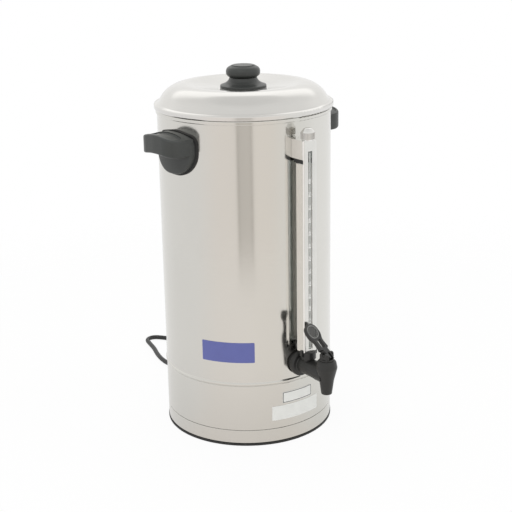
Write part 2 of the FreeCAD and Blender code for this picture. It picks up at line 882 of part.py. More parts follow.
def make_gauge_bracket():
    block = bracket_block(bracket_bottom, bracket_top, -6.0, 2.0)
    block = tank_cut(block, weld_gap)
    boss = moved(disc(cap_boss_radius, bracket_top - 0.1, bracket_top + cap_boss_height), 0, gauge_y, 0)
    groove = Part.makeBox(
        2 * (tube_radius + seat_gap), channel_face, tube_top + seat_gap - bracket_bottom + 1,
        V(-tube_radius - seat_gap, gauge_y - channel_face, bracket_bottom - 1))
    stud = rod(bracket_stud_radius, V(0, -body_radius - 2, bracket_stud_level),
               V(0, -inner_radius + bracket_stud_length, bracket_stud_level))
    bore = moved(disc(tube_radius + seat_gap, bracket_bottom - 1, tube_top + seat_gap), 0, gauge_y, 0)
    vent = moved(disc(1.5, tube_top, bracket_top + cap_boss_height + 1), 0, gauge_y, 0)
    return block.fuse(boss).fuse(stud).cut(bore).cut(groove).cut(vent)


def make_gauge_collar():
    top = bracket_bottom - weld_gap
    collar = bracket_block(top - collar_height, top, collar_inner_reach, 4.0)
    hole = moved(disc(tube_radius + seat_gap, top - collar_height - 1, top + 1), 0, gauge_y, 0)
    mouth = Part.makeBox(2 * (tube_radius + seat_gap), channel_face, collar_height + 2,
                         V(-tube_radius - seat_gap, gauge_y - channel_face, top - collar_height - 1))
    return collar.cut(hole).cut(mouth)


def make_gauge_cap():
    low = bracket_top + cap_lift
    top = low + cap_height
    cap = turned([
        (0, low), (cap_radius, low, 0.8), (cap_radius, top - cap_dome, 4.0),
        (cap_radius - 4.0, top, 5.0), (0, top)])
    cap = cap.cut(disc(cap_boss_radius + weld_gap, low - 1, bracket_top + cap_boss_height + seat_gap))
    return moved(cap, 0, gauge_y, 0)


def make_channel():
    """The bent steel guard: a slotted face with two side walls, cut back beside the bracket."""
    face = -(body_radius + channel_face)
    back = face + channel_depth
    top = bracket_top - seat_gap
    collar_low = bracket_bottom - collar_height - 0.5
    outer = prism([
        (-channel_half_width, back), (-channel_half_width, face, 1.6), (channel_half_width, face, 1.6),
        (channel_half_width, back)], channel_bottom, top)
    inner_half = channel_half_width - channel_sheet
    inner = prism([
        (-inner_half, back + 1), (-inner_half, face + channel_sheet, 0.6),
        (inner_half, face + channel_sheet, 0.6), (inner_half, back + 1)], channel_bottom - 1, top + 1)
    slot = Part.makeBox(
        2 * slot_half_width, 6, slot_top - slot_bottom, V(-slot_half_width, face - 2, slot_bottom))
    side_cut = Part.makeBox(
        2 * channel_half_width + 2, channel_depth, top - collar_low + 1,
        V(-channel_half_width - 1, face + channel_sheet, collar_low))
    return outer.cut(inner).cut(slot).cut(side_cut)


def make_gauge_nut():
    top = channel_bottom - seat_gap
    low = top - gauge_nut_height
    nut = turned([(0, low), (gauge_nut_radius, low, 1.0), (gauge_nut_radius, top, 1.4), (0, top)])
    wings = []
    for side in (-1, 1):
        near = side * 7.0
        inside = side * (channel_half_width + 0.5)
        outside = side * wing_reach
        outline = [(near, low + 3.0), (outside, low + 5.0, 1.5), (outside, wing_top, 0.5),
                   (inside, wing_top, 0.5), (inside, top, 0.3), (near, top)]
        wing = upright(Part.Face(corner_wire(outline, True)))
        wings.append(moved(wing.extrude(V(0, wing_width, 0)), 0, -wing_width / 2, 0))
    nut = joined([nut] + wings)
    nut = nut.cut(disc(tube_radius + seat_gap, low - 1, wing_top + 1))
    nut = nut.cut(disc(tee_radius + weld_gap, low - 1, tee_top + seat_gap + 2.6))
    return moved(nut, 0, gauge_y, 0)


parts["gauge_bracket"] = make_gauge_bracket()
bracket_nut = hexagon(bracket_nut_across, 0, bracket_nut_height).cut(
    disc(bracket_stud_radius + weld_gap, -1, bracket_nut_height + 1))
nut_seat = math.sqrt(inner_radius ** 2 - (bracket_nut_across / math.sqrt(3)) ** 2) - weld_gap
parts["bracket_nut"] = moved(facing_tap(bracket_nut), 0, -nut_seat + bracket_nut_height, bracket_stud_level)
parts["gauge_collar"] = make_gauge_collar()
parts["gauge_cap"] = make_gauge_cap()
parts["gauge_tube"] = moved(ring(tube_radius, tube_radius - tube_wall, tube_foot, tube_top), 0, gauge_y, 0)
parts["gauge_channel"] = make_channel()
parts["gauge_nut"] = make_gauge_nut()
parts["gauge_seal"] = moved(
    ring(tee_radius - 0.6, tube_radius + weld_gap, tee_top + weld_gap, tee_top + 2.7), 0, gauge_y, 0)


# Tap arm, drawn along +Z and turned to point out of the tank

def arm_piece(shape):
    """Place a piece drawn along +Z, with the tank wall's outside at zero, on the tap's axis."""
    return moved(facing_tap(shape), 0, -body_radius, tap_level)


def make_tap_arm():
    seat = tap_gasket_thick + weld_gap
    front = seat + flange_thick
    flange = turned([
        (0, seat), (flange_radius, seat, 1.0), (flange_radius, front, 2.2),
        (arm_radius + 0.8, front + 0.8, 1.0), (arm_radius, front + 1.6), (0, front + 1.6)])
    arm = disc(arm_radius, seat, arm_end_reach)
    end = disc(spigot_radius, arm_end_reach - 1, arm_end_reach + spigot_length)
    shank = disc(shank_radius, -sheet - shank_length, seat + 1)
    outer = arm_piece(joined([flange, arm, end, shank]))
    tee = moved(disc(tee_radius, tap_level, tee_top), 0, gauge_y, 0)
    outer = outer.fuse(tee)
    bore = arm_piece(disc(arm_bore, -sheet - shank_length - 1, arm_end_reach + spigot_length + 1))
    tube_seat = moved(disc(tube_radius + weld_gap, tube_foot, tee_top + 1), 0, gauge_y, 0)
    tee_bore = moved(disc(tube_radius - tube_wall, tap_level, tube_foot + 1), 0, gauge_y, 0)
    return outer.cut(bore).cut(tube_seat).cut(tee_bore)


def make_tap_gasket(outside):
    """A rubber washer; its face to the tank follows the wall."""
    if outside:
        washer = arm_piece(ring(tap_gasket_radius, shank_radius + weld_gap, -8, tap_gasket_thick))
        return tank_cut(washer, weld_gap)
    washer = arm_piece(ring(tap_gasket_radius, shank_radius + weld_gap, -sheet - 4.5, 4))
    wall = Part.makeCylinder(
        inner_radius - weld_gap, 4 * tap_gasket_radius, V(0, 0, tap_level - 2 * tap_gasket_radius), UP)
    return washer.common(wall)


nut_face = -sheet - 4.6
tap_nut = hexagon(tap_nut_across, nut_face - tap_nut_height, nut_face).cut(
    disc(shank_radius + weld_gap, nut_face - tap_nut_height - 1, nut_face + 1))
parts["tap_arm"] = make_tap_arm()
parts["tap_gasket_outer"] = make_tap_gasket(True)
parts["tap_gasket_inner"] = make_tap_gasket(False)
parts["tap_nut"] = arm_piece(tap_nut)


# Valve, drawn on the Z axis and moved out to the end of the arm

valve_y = -(body_radius + tap_reach)
seat_level = chamber_floor + seat_lip


def make_valve_body():
    outer = turned([
        (0, spout_bottom), (spout_radius, spout_bottom, 0.6), (valve_waist, valve_waist_level, 30),
        (valve_flare, valve_flare_level, 12), (valve_belly, valve_belly_level, 5.0),
        (valve_top_radius + 1.6, valve_top - 2.2, 3.0), (valve_top_radius - 0.6, valve_top), (0, valve_top)])
    socket = Part.makeCylinder(arm_radius + 0.5, tap_reach - arm_end_reach, V(0, 0, tap_level), V(0, 1, 0))
    body = outer.fuse(socket)
    body = body.cut(disc(chamber_radius, chamber_floor, valve_top + 1))
    lip = ring(spout_bore + seat_lip_wall, spout_bore, chamber_floor - 0.5, seat_level)
    body = body.fuse(lip)
    body = body.cut(disc(spout_bore, spout_bottom - 1, seat_level + 1))
    depth = tap_reach - arm_end_reach - spigot_length
    spigot_bore = Part.makeCylinder(
        spigot_radius + weld_gap, spigot_length + 1, V(0, depth - weld_gap, tap_level), V(0, 1, 0))
    inlet = Part.makeCylinder(inlet_radius, depth + 2, V(0, 0, tap_level), V(0, 1, 0))
    chamber = disc(chamber_radius - 0.01, chamber_floor, valve_top)
    around_lip = chamber.cut(disc(spout_bore + seat_lip_wall, 0, seat_level))
    return body.cut(spigot_bore).cut(inlet.cut(chamber)).cut(around_lip)


def on_valve(shape):
    return moved(shape, 0, valve_y, 0)


parts["valve_body"] = on_valve(make_valve_body())


# Bonnet and lever, drawn with the lever's swing in the XZ plane and leaning towards +X

bonnet_top = valve_top + weld_gap + bonnet_plate
pin_level = bonnet_top + pin_rise
lever_turn = 90.0 + bonnet_turn


def on_bonnet(shape):
    return on_valve(spun(shape, lever_turn))


def make_bonnet():
    low = valve_top + weld_gap
    plate = turned([(0, low), (bonnet_radius, low), (bonnet_radius, bonnet_top, 0.7), (0, bonnet_top)])
    spigot = disc(chamber_radius - weld_gap, valve_top - bonnet_spigot, low + 0.5)
    pieces = [plate, spigot]
    slot_half = pin_radius + pin_slot_gap
    for side in (-1, 1):
        outline = [
            (-lug_half_length, bonnet_top - 0.5), (lug_half_length, bonnet_top - 0.5),
            (lug_half_length, bonnet_top + lug_height - 1.2, 3.0), (slot_half, bonnet_top + lug_height, 0.4),
            (slot_half, pin_level - slot_half, slot_half - 0.05),
            (-slot_half, pin_level - slot_half, slot_half - 0.05),
            (-slot_half, bonnet_top + lug_height, 0.4),
            (-lug_half_length, bonnet_top + lug_height - 1.2, 3.0)]
        lug = upright(Part.Face(corner_wire(outline, True)))
        lug = lug.extrude(V(0, lug_thick, 0))
        near = lug_inner if side > 0 else -lug_inner - lug_thick
        pieces.append(moved(lug, 0, near, 0))
    bonnet = joined(pieces)
    rim = disc(bonnet_radius - 0.2, valve_top - bonnet_spigot - 1, bonnet_top + lug_height + 1)
    bonnet = bonnet.common(rim.fuse(disc(bonnet_radius + 5, valve_top, bonnet_top)))
    return bonnet.cut(disc(stem_radius + running_gap, valve_top - bonnet_spigot - 1, bonnet_top + 1))


cup_pad_top = seat_level + cup_pad
disc_top = cup_pad_top + stem_disc


def make_stem():
    """The round stem: a disc in the seat cup below, two flats and an eye for the lever's pin above."""
    top = pin_level + stem_radius
    flats_from = bonnet_top - stem_lift
    bar = disc(stem_radius, cup_pad_top, pin_level)
    eye = Part.makeCylinder(stem_radius, 2 * stem_radius, V(0, -stem_radius, pin_level), V(0, 1, 0))
    bar = bar.fuse(eye.common(disc(stem_radius, pin_level - 1, top + 1)))
    for side in (-1, 1):
        y = stem_flat if side > 0 else -stem_flat - 5
        bar = bar.cut(Part.makeBox(10, 5, top - flats_from, V(-5, y, flats_from)))
    foot = turned([
        (0, cup_pad_top), (stem_disc_radius, cup_pad_top), (stem_disc_radius, disc_top, 0.5), (0, disc_top)])
    hole = Part.makeCylinder(pin_radius + running_gap, 8, V(0, -4, pin_level), V(0, 1, 0))
    return bar.fuse(foot).cut(hole)


def make_seat_cup():
    top = seat_level + cup_height
    inside = cup_radius - cup_wall
    return turned([
        (0, seat_level), (cup_radius - 1.0, seat_level, 0.5), (cup_radius, seat_level + 2.2, 1.0),
        (cup_radius, top, 0.4), (inside, top, 0.3), (inside, cup_pad_top), (0, cup_pad_top)])


def make_spring():
    """A compression spring round the stem, from its disc up to the bonnet."""
    low = disc_top + 0.2
    high = valve_top - bonnet_spigot - 0.2
    pitch = (high - low - spring_wire) / spring_turns
    stations = []
    for k in range(4 * spring_turns + 1):
        angle = math.radians(90.0 * k)
        across = spring_radius * math.cos(angle)
        back = spring_radius * math.sin(angle)
        at = V(across, back, low + spring_wire / 2 + pitch * k / 4)
        along = V(-back, across, pitch / (2 * math.pi)).normalize()
        stations.append((at, along))
    path = biarc_wire(stations)
    start, along = stations[0]
    print("spring least gap to itself %.2f mm" % (pitch - spring_wire))
    return tube_along(path, start, along, spring_wire / 2, "spring")


def heel_point(angle):
    """A point of the cam heel, about the pin, for the heel direction that is down at this tilt."""
    rate = stem_lift / math.radians(lever_range)
    height = pin_rise - seat_gap + rate * angle
    down = V(-math.sin(angle), -math.cos(angle), 0)
    along = V(-math.cos(angle), math.sin(angle), 0)
    return down * height + along * rate


def make_lever():
    lean = math.radians(lever_lean)
    axis = V(math.cos(lean), math.sin(lean), 0)
    out = V(-math.sin(lean), math.cos(lean), 0)
    hub_low = pin_rise - seat_gap
    steps = 6
    heel = [heel_point(math.radians(lever_range) * k / steps) for k in range(steps + 1)]
    curve = Part.BSplineCurve()
    curve.interpolate(heel)
    heel_top = axis * 14.0 + out * (stalk_thick / 2 + 0.4)
    tip_top = axis * (lever_length - 1.2) + out * (paddle_thick / 2)
    tip_low = axis * (lever_length - 1.2) - out * (paddle_thick / 2)
    stalk_low = axis * (hub_radius + 4.0) - out * (stalk_thick / 2)
    hub_back = axis * 3.0 - out * hub_radius * 0.9
    hub_bottom = V(0, -hub_low, 0)
    tip_mid = axis * lever_length
    edges = [
        Part.LineSegment(hub_bottom, heel[0]).toShape(), curve.toShape(),
        Part.LineSegment(heel[-1], heel_top).toShape(), Part.LineSegment(heel_top, tip_top).toShape(),
        Part.Arc(tip_top, tip_mid, tip_low).toShape(), Part.LineSegment(tip_low, stalk_low).toShape(),
        Part.LineSegment(stalk_low, hub_back).toShape(),
        Part.Arc(hub_back, (hub_back + hub_bottom).normalize() * hub_low, hub_bottom).toShape()]
    side = upright(Part.Face(Part.Wire(edges)))
    blank = side.extrude(V(0, 2 * paddle_half_width + 4, 0))
    blank.translate(V(0, -paddle_half_width - 2, 0))
    centre = lever_length - paddle_length / 2
    plan_corners = [
        (-14, -hub_half_width), (stalk_start - 1.0, -hub_half_width, 0.8),
        (stalk_start, -stalk_half_width, 1.2),
        (centre - 12.0, -stalk_half_width + 0.6, 8.0), (centre - 4.0, -paddle_half_width, 9.0),
        (lever_length, -paddle_half_width + 0.6, 10.4), (lever_length, paddle_half_width - 0.6, 10.4),
        (centre - 4.0, paddle_half_width, 9.0), (centre - 12.0, stalk_half_width - 0.6, 8.0),
        (stalk_start, stalk_half_width, 1.2), (stalk_start - 1.0, hub_half_width, 0.8),
        (-14, hub_half_width)]
    plan = prism(plan_corners, -16, 16)
    slot = prism([
        (lever_slot_start, -lever_slot_half_width, 1.4), (lever_slot_end, -lever_slot_half_width, 1.4),
        (lever_slot_end, lever_slot_half_width, 1.4),
        (lever_slot_start, lever_slot_half_width, 1.4)], -16, 16)
    inner = paddle_half_width - paddle_rim
    tip = lever_length - paddle_rim
    recess = prism([
        (centre - 7.5, -inner + 3.4, 3.4), (centre - 2.0, -inner, 7.0), (tip, -inner, 9.2),
        (tip, inner, 9.2), (centre - 2.0, inner, 7.0), (centre - 7.5, inner - 3.4, 3.4)],
        paddle_thick / 2 - paddle_recess, 16)
    tools = []
    for tool in (plan, slot, recess):
        tool.rotate(V(0, 0, 0), V(0, 1, 0), -lever_lean)
        tools.append(tool)
    lever = blank.common(tools[0]).cut(tools[1]).cut(tools[2])
    fork = Part.makeBox(24, 2 * (stem_flat + 0.3), 24, V(-20.7, -stem_flat - 0.3, -20.7))
    pin_hole = Part.makeCylinder(pin_radius + 0.02, 30, V(0, -15, 0), V(0, 1, 0))
    return moved(lever.cut(fork).cut(pin_hole), 0, 0, pin_level)


pin_half = lug_inner + lug_thick - 0.3
lever_pin = Part.makeCylinder(pin_radius, 2 * pin_half, V(0, -pin_half, pin_level), V(0, 1, 0))
parts["bonnet"] = on_bonnet(make_bonnet())
parts["valve_stem"] = on_bonnet(make_stem())
parts["seat_cup"] = on_valve(make_seat_cup())
parts["valve_spring"] = on_bonnet(make_spring())
parts["lever"] = on_bonnet(make_lever())
parts["lever_pin"] = on_bonnet(lever_pin)


# Percolator

def hole_pattern(circles, counts, low, high):
    holes = []
    for circle, count in zip(circles, counts):
        for k in range(count):
            holes.append(spun(moved(disc(hole_radius, low, high), circle, 0, 0), 360.0 / count * k))
    return holes[0].multiFuse(holes[1:])


def make_pump_foot():
    top = well_floor + foot_rise
    shell = turned_sheet([
        (foot_radius, well_floor), (foot_radius, well_floor + 2.0, 1.5), (pump_radius + 5.0, top - 4.0, 3.0),
        (pump_radius + weld_gap, top - 3.0, 1.0), (pump_radius + weld_gap, top + 3.0)], -foot_sheet)
    return shell.fuse(ring(foot_radius + foot_sheet, foot_radius - 2.5, well_floor, well_floor + foot_sheet))


def make_pump_tube():
    low = well_floor + 4.0
    tube = ring(pump_radius, pump_radius - pump_wall, low, pump_top)
    stop_low = basket_bottom - stop_height
    stop = ring(stop_radius, pump_radius - pump_wall / 2, stop_low, basket_bottom)
    return tube.fuse(stop)


def make_basket():
    wall = turned_sheet([
        (pump_radius + running_gap, basket_bottom + basket_sleeve),
        (pump_radius + running_gap, basket_bottom, 1.2), (basket_radius, basket_bottom, 5.0),
        (basket_radius, basket_bottom + basket_height)], sheet)
    rim = turned([
        (basket_radius - sheet, basket_bottom + basket_height - 2.4, 0.6),
        (basket_radius + 1.4, basket_bottom + basket_height - 2.4, 1.0),
        (basket_radius + 1.4, basket_bottom + basket_height, 1.0),
        (basket_radius - sheet, basket_bottom + basket_height, 0.6)])
    basket = wall.fuse(rim)
    return basket.cut(hole_pattern(hole_circles, hole_counts, basket_bottom - 2, basket_bottom + 3))


def make_spreader():
    level = basket_bottom + basket_height + seat_gap
    dish = level - spreader_rim
    spreader_radius = basket_radius - spreader_inset
    plate = turned_sheet([
        (pump_radius + 0.8, level + 8.0), (pump_radius + 0.8, dish, 1.2), (spreader_radius, dish, 1.5),
        (spreader_radius, level, 1.2), (basket_radius + 1.0, level)], sheet)
    return plate.cut(hole_pattern(spreader_circles, spreader_counts, dish - 2, dish + 2))


parts["pump_foot"] = make_pump_foot()
parts["pump_tube"] = make_pump_tube()
parts["brew_basket"] = make_basket()
parts["basket_spreader"] = make_spreader()


# Power cord

def cord_path(points):
    """Straight runs joined by arcs as large as the runs allow; prints each radius."""
    places = [V(*p) for p in points]
    edges = []
    last = places[0]
    radii = []
    for before, at, after in zip(places, places[1:], places[2:]):
        back = before - at
        ahead = after - at
        shorter = min(back.Length, ahead.Length)
        reach = 0.45 * shorter
        start = at + V(back).normalize() * reach
        end = at + V(ahead).normalize() * reach
        half = back.getAngle(ahead) / 2
        radii.append(reach * math.tan(half))
        edges.append(Part.LineSegment(last, start).toShape())
        edges.append(arc_at_corner(start, at, end))
        last = end
    edges.append(Part.LineSegment(last, places[-1]).toShape())
    print("cord arcs, mm:", " ".join("%.0f" % r for r in radii))
    return Part.Wire(edges)


def coil_stations(start, heading):
    """Places and directions along the coil: in through one layer, up, and out through the next."""
    shrink = coil_pitch / (2 * math.pi)
    turns = 2 * math.pi * coil_turns
    lead = math.atan2(-shrink, coil_radius)

    def place(angle):
        if angle <= turns:
            return coil_radius - shrink * angle, 0.0, -shrink, 0.0
        if angle <= turns + math.pi:
            over = angle - turns
            inner = coil_radius - shrink * turns
            return (inner - shrink * math.sin(over), coil_pitch * (1 - math.cos(over)) / 2,
                    -shrink * math.cos(over), coil_pitch * math.sin(over) / 2)
        over = angle - turns - math.pi
        return coil_radius - shrink * turns + shrink * over, coil_pitch, shrink, 0.0

    first = math.atan2(heading.y, heading.x) - math.pi / 2 + lead
    outward = V(math.cos(first), math.sin(first), 0)
    centre = start - outward * coil_radius
    stations = []
    steps = int(round((2 * turns + math.pi) / (math.pi / 2)))
    for k in range(steps + 1):
        angle = math.pi / 2 * k
        radius, rise, radius_rate, rise_rate = place(angle)
        ray = V(math.cos(first + angle), math.sin(first + angle), 0)
        across = V(-ray.y, ray.x, 0)
        at = centre + ray * radius + UP * rise
        along = (across * radius + ray * radius_rate + UP * rise_rate).normalize()
        stations.append((at, along))
    return stations


def least_self_gap(path, near):
    """The smallest clear gap between turns of the coil, measured on points along its centre line."""
    points = path.discretize(Distance=2.0)
    skip = int(near / 2.0)
    best = 1e9
    for i, a in enumerate(points):
        for b in points[i + skip:]:
            best = min(best, a.distanceToPoint(b))
    return best - 2 * cord_radius


def make_gland():
    """A moulded strain relief through the back of the base, with a ribbed tail."""
    tail = turned([
        (0, -8), (gland_radius - gland_flange - weld_gap, -8), (gland_radius - gland_flange - weld_gap, 0),
        (gland_radius, 0), (gland_radius, gland_flange, 0.8), (gland_tip + 0.8, gland_flange + 1.5),
        (gland_tip, gland_length - 0.2, 0.5), (0, gland_length)])
    for k in range(3):
        low = gland_flange + 3.6 + 3.6 * k
        tail = tail.cut(ring(gland_radius, gland_tip - 0.6, low, low + 1.4))
    tail.rotate(V(0, 0, 0), V(1, 0, 0), -90)
    return moved(tail, 0, body_radius + seat_gap, gland_level)


def plug_shapes(start, heading):
    """A moulded plug on the end of the cord, with two blades and a round earth pin."""
    body = prism([
        (0, -plug_neck / 2, 1.5), (plug_length * 0.45, -plug_width / 2, 7), (plug_length, -plug_width / 2, 2),
        (plug_length, plug_width / 2, 2), (plug_length * 0.45, plug_width / 2, 7), (0, plug_neck / 2, 1.5)],
        -plug_height / 2, plug_height / 2)
    edges = [e for e in body.Edges if abs(e.BoundBox.ZMin - e.BoundBox.ZMax) < 0.01]
    body = body.makeFillet(1.6, edges)
    blades = []
    for side in (-1, 1):
        corner = V(plug_length - 2, side * blade_spread / 2 - blade_thick / 2, 2.0 - blade_width / 2)
        blades.append(Part.makeBox(blade_length + 2, blade_thick, blade_width, corner))
    earth = Part.makeCylinder(
        ground_radius, blade_length + 4, V(plug_length - 2, 0, -ground_drop), V(1, 0, 0))
    angle = math.degrees(math.atan2(heading.y, heading.x))
    placed = []
    for shape in (body.cut(blades[0]).cut(blades[1]).cut(earth), Part.makeCompound(blades + [earth])):
        shape.rotate(V(0, 0, 0), UP, angle)
        shape.translate(start)
        placed.append(shape)
    return placed


lead_path = cord_path(cord_route)
lead = tube_along(lead_path, V(*cord_route[0]), V(0, 1, 0), cord_radius, "cord")
lead_end = V(*cord_route[-1])
lead_heading = (lead_end - V(*cord_route[-2])).normalize()
stations = coil_stations(lead_end + lead_heading * 2 * cord_radius, lead_heading)
coil_path = with_straight_ends(biarc_wire(stations), stations, 2 * cord_radius)
coil = tube_along(coil_path, lead_end, lead_heading, cord_radius, "coil")
print("coil least gap to itself %.2f mm" % least_self_gap(coil_path, 40.0))
tail_heading = stations[-1][1]
tail_start = stations[-1][0] + tail_heading * 2 * cord_radius
tail_left = V(-tail_heading.y, tail_heading.x, 0)
tail_route = []
for step, aside, height in tail_steps:
    place = tail_start + tail_heading * step + tail_left * aside
    tail_route.append((place.x, place.y, height))
tail = tube_along(cord_path(tail_route), tail_start, tail_heading, cord_radius, "tail")
plug_start = V(*tail_route[-1])
plug_heading = (plug_start - V(*tail_route[-2])).normalize()
plug_body, plug_pins = plug_shapes(plug_start, plug_heading)
parts["cord_gland"] = make_gland()
parts["cord_lead"] = lead
parts["cord_tail"] = tail
parts["cord_coil"] = coil
parts["plug_body"] = plug_body
parts["plug_pins"] = plug_pins


def main():
    os.makedirs("parts", exist_ok=True)
    for node, shape in parts.items():
        for solid in shape.Solids:
            if not solid.isValid() or solid.Volume <= 0:
                print("CHECK", node, "has a solid that is not valid")
        if not shape.Solids:
            print("CHECK", node, "has no solid")
        shape.exportStep("parts/" + node + ".step")
    print(len(parts), "nodes")


main()
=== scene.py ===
"""Finishes, fine pieces and studio for the coffee urn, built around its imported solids.

The urn stands on the floor at the origin with its tap towards -Y, and every length is in metres. Each
operator makes one piece or one group of like pieces, and main() runs them in the order of the panel.
"""
import math

import bmesh
import bpy
from bpy.props import FloatProperty, FloatVectorProperty, IntProperty, PointerProperty
from mathutils import Matrix, Vector


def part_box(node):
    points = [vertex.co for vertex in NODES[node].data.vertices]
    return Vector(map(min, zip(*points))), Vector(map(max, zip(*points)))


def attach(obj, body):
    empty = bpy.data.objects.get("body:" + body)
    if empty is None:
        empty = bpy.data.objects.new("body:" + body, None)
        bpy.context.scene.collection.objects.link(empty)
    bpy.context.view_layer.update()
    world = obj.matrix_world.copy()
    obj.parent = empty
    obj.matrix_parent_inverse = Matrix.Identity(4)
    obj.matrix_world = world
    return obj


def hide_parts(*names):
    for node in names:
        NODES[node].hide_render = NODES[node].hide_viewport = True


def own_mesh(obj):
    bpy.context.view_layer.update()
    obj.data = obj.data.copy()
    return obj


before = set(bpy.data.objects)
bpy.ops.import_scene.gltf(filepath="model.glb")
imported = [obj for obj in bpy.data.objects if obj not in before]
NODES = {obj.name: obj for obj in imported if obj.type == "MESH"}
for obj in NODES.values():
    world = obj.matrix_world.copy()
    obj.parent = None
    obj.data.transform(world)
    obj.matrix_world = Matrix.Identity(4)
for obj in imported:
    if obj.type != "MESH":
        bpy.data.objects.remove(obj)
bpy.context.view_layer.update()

bl_info = {
    "name": "Coffee Urn",
    "version": (1, 0, 0),
    "blender": (4, 5, 0),
    "location": "View3D > Sidebar > Urn",
    "description": "Finishes, fine pieces and studio for a percolator coffee urn",
    "category": "Object",
}

MM = 0.001
BODY_RADIUS = 115.0 * MM
GAUGE_AXIS = Vector((0.0, -135.4 * MM, 0.0))
VALVE_AXIS = Vector((0.0, -173.0 * MM, 0.0))


# Sizes and colours that a user would change

def length(name, description, default, low=0.0, high=1.0):
    return FloatProperty(name=name, description=description, default=default, min=low, max=high,
                         unit="LENGTH", subtype="DISTANCE", precision=5)


def angle(name, description, default):
    return FloatProperty(name=name, description=description, default=math.radians(default),
                         min=-math.pi, max=math.pi, unit="ROTATION", subtype="ANGLE")


def colour(name, description, default):
    return FloatVectorProperty(name=name, description=description, default=default, size=3, min=0.0, max=1.0,
                               subtype="COLOR")


def count(name, description, default, low=1, high=200):
    return IntProperty(name=name, description=description, default=default, min=low, max=high)


class UrnFinishes(bpy.types.PropertyGroup):
    """Colours of the urn's finishes."""
    steel: colour("Tank steel", "Colour of the polished tank and base", (0.685, 0.675, 0.640))
    lid_steel: colour("Lid steel", "Colour of the satin lid", (0.725, 0.715, 0.695))
    guard_steel: colour("Guard steel", "Colour of the gauge's guard and cap", (0.760, 0.755, 0.735))
    # The guard's finish uses this colour as painted light, making the guard's sides and inside paler than its
    # front
    pale_steel: colour("Pale steel", "Colour of the gauge's bracket and of its guard's sides",
                       (0.970, 0.970, 0.955))
    inner_steel: colour("Inner steel", "Colour of the unpolished inner steel", (0.560, 0.550, 0.530))
    aluminium: colour("Aluminium", "Colour of the percolator and the heater plate", (0.800, 0.800, 0.800))
    zinc: colour("Zinc plate", "Colour of the plated screws and nuts", (0.640, 0.650, 0.660))
    element: colour("Element sheath", "Colour of the heater's elements", (0.200, 0.190, 0.180))
    handle: colour("Handle plastic", "Colour of the knob and the handles", (0.040, 0.043, 0.041))
    tap: colour("Tap plastic", "Colour of the tap and the gauge nut", (0.017, 0.017, 0.016))
    # painted highlight: the studs and the bead are moulded in the tap's black plastic, and this pale colour
    # stands in for the light on their raised faces
    grip: colour("Lever grip", "Colour of the studs and bead on the tap's lever", (0.270, 0.270, 0.260))
    rubber: colour("Rubber", "Colour of the foot trim and the gaskets", (0.016, 0.016, 0.016))
    cord: colour("Cord sheath", "Colour of the power cord and its plug", (0.020, 0.020, 0.020))
    silicone: colour("Silicone", "Colour of the seals", (0.720, 0.700, 0.660))
    ceramic: colour("Ceramic", "Colour of the thermostats and the terminal block", (0.780, 0.740, 0.660))
    brass: colour("Brass", "Colour of the plug's pins", (0.780, 0.570, 0.280))
    glass: colour("Gauge glass", "Colour of the gauge's glass tube", (0.840, 0.875, 0.860))
    plate_blue: colour("Front plate", "Colour of the bare plate on the tank", (0.104, 0.122, 0.372))
    plate_pale: colour("Rating plates", "Colour of the bare plates on the base", (0.790, 0.793, 0.765))
    line: colour("Frame line", "Colour of the line printed on the framed plate", (0.030, 0.030, 0.032))
    mark: colour("Scale marks", "Colour of the gauge's marks and numbers", (0.970, 0.970, 0.950))
    film: colour("Scale film", "Colour of the clear film that carries the scale", (0.660, 0.672, 0.645))


class UrnPlates(bpy.types.PropertyGroup):
    """Places and sizes of the bare plates, as turns round the tank from the tap and heights."""
    gap: length("Gap", "Gap between the wall and a plate", 0.00005)
    thickness: length("Thickness", "Thickness of each plate", 0.00016)
    corner: length("Corner", "Corner radius of each plate", 0.0012)
    front_from: angle("Front plate from", "Left end of the front plate", -67.2)
    front_to: angle("Front plate to", "Right end of the front plate", -31.4)
    front_low: length("Front plate foot", "Height of the front plate's lower edge", 0.1200)
    front_high: length("Front plate top", "Height of the front plate's upper edge", 0.1480)
    framed_from: angle("Framed plate from", "Left end of the framed plate", -12.8)
    framed_to: angle("Framed plate to", "Right end of the framed plate", 11.2)
    framed_low: length("Framed plate foot", "Height of the framed plate's lower edge", 0.0572)
    framed_high: length("Framed plate top", "Height of the framed plate's upper edge", 0.0732)
    lower_from: angle("Lower plate from", "Left end of the lower plate", -20.3)
    lower_to: angle("Lower plate to", "Right end of the lower plate", 17.5)
    lower_low: length("Lower plate foot", "Height of the lower plate's lower edge", 0.0340)
    lower_high: length("Lower plate top", "Height of the lower plate's upper edge", 0.0545)
    line_margin: length("Line margin", "Distance of the printed line from the framed plate's edge", 0.0006)
    line_width: length("Line width", "Width of the printed line", 0.0008)
    line_corner: length("Line corner", "Corner radius of the printed line", 0.00084)
    line_thickness: length("Line thickness", "Thickness of the printed line", 0.00003)


class UrnScrews(bpy.types.PropertyGroup):
    """The cross-recessed screws under the bottom cover."""
    number: count("Screws", "How many screws hold the cover", 4)
    circle: length("Screw circle", "Radius of the circle that the screws stand on", 0.1080)
    seat: length("Head seat", "Height of the cover's underside, where the heads seat", 0.0033)
    head_radius: length("Head radius", "Radius of a head", 0.0039)
    head_height: length("Head height", "Height of a head", 0.0020)
    shank_radius: length("Shank radius", "Radius of a shank", 0.0019)
    shank_length: length("Shank length", "Length of a shank with its end in the head", 0.0084)
    recess_width: length("Recess width", "Width of one arm of the recess", 0.0009)
    recess_height: length("Recess height", "Height of the block that cuts an arm", 0.0011)
    recess_middle: length("Recess middle", "Distance of the block's middle inside the head", 0.0005)


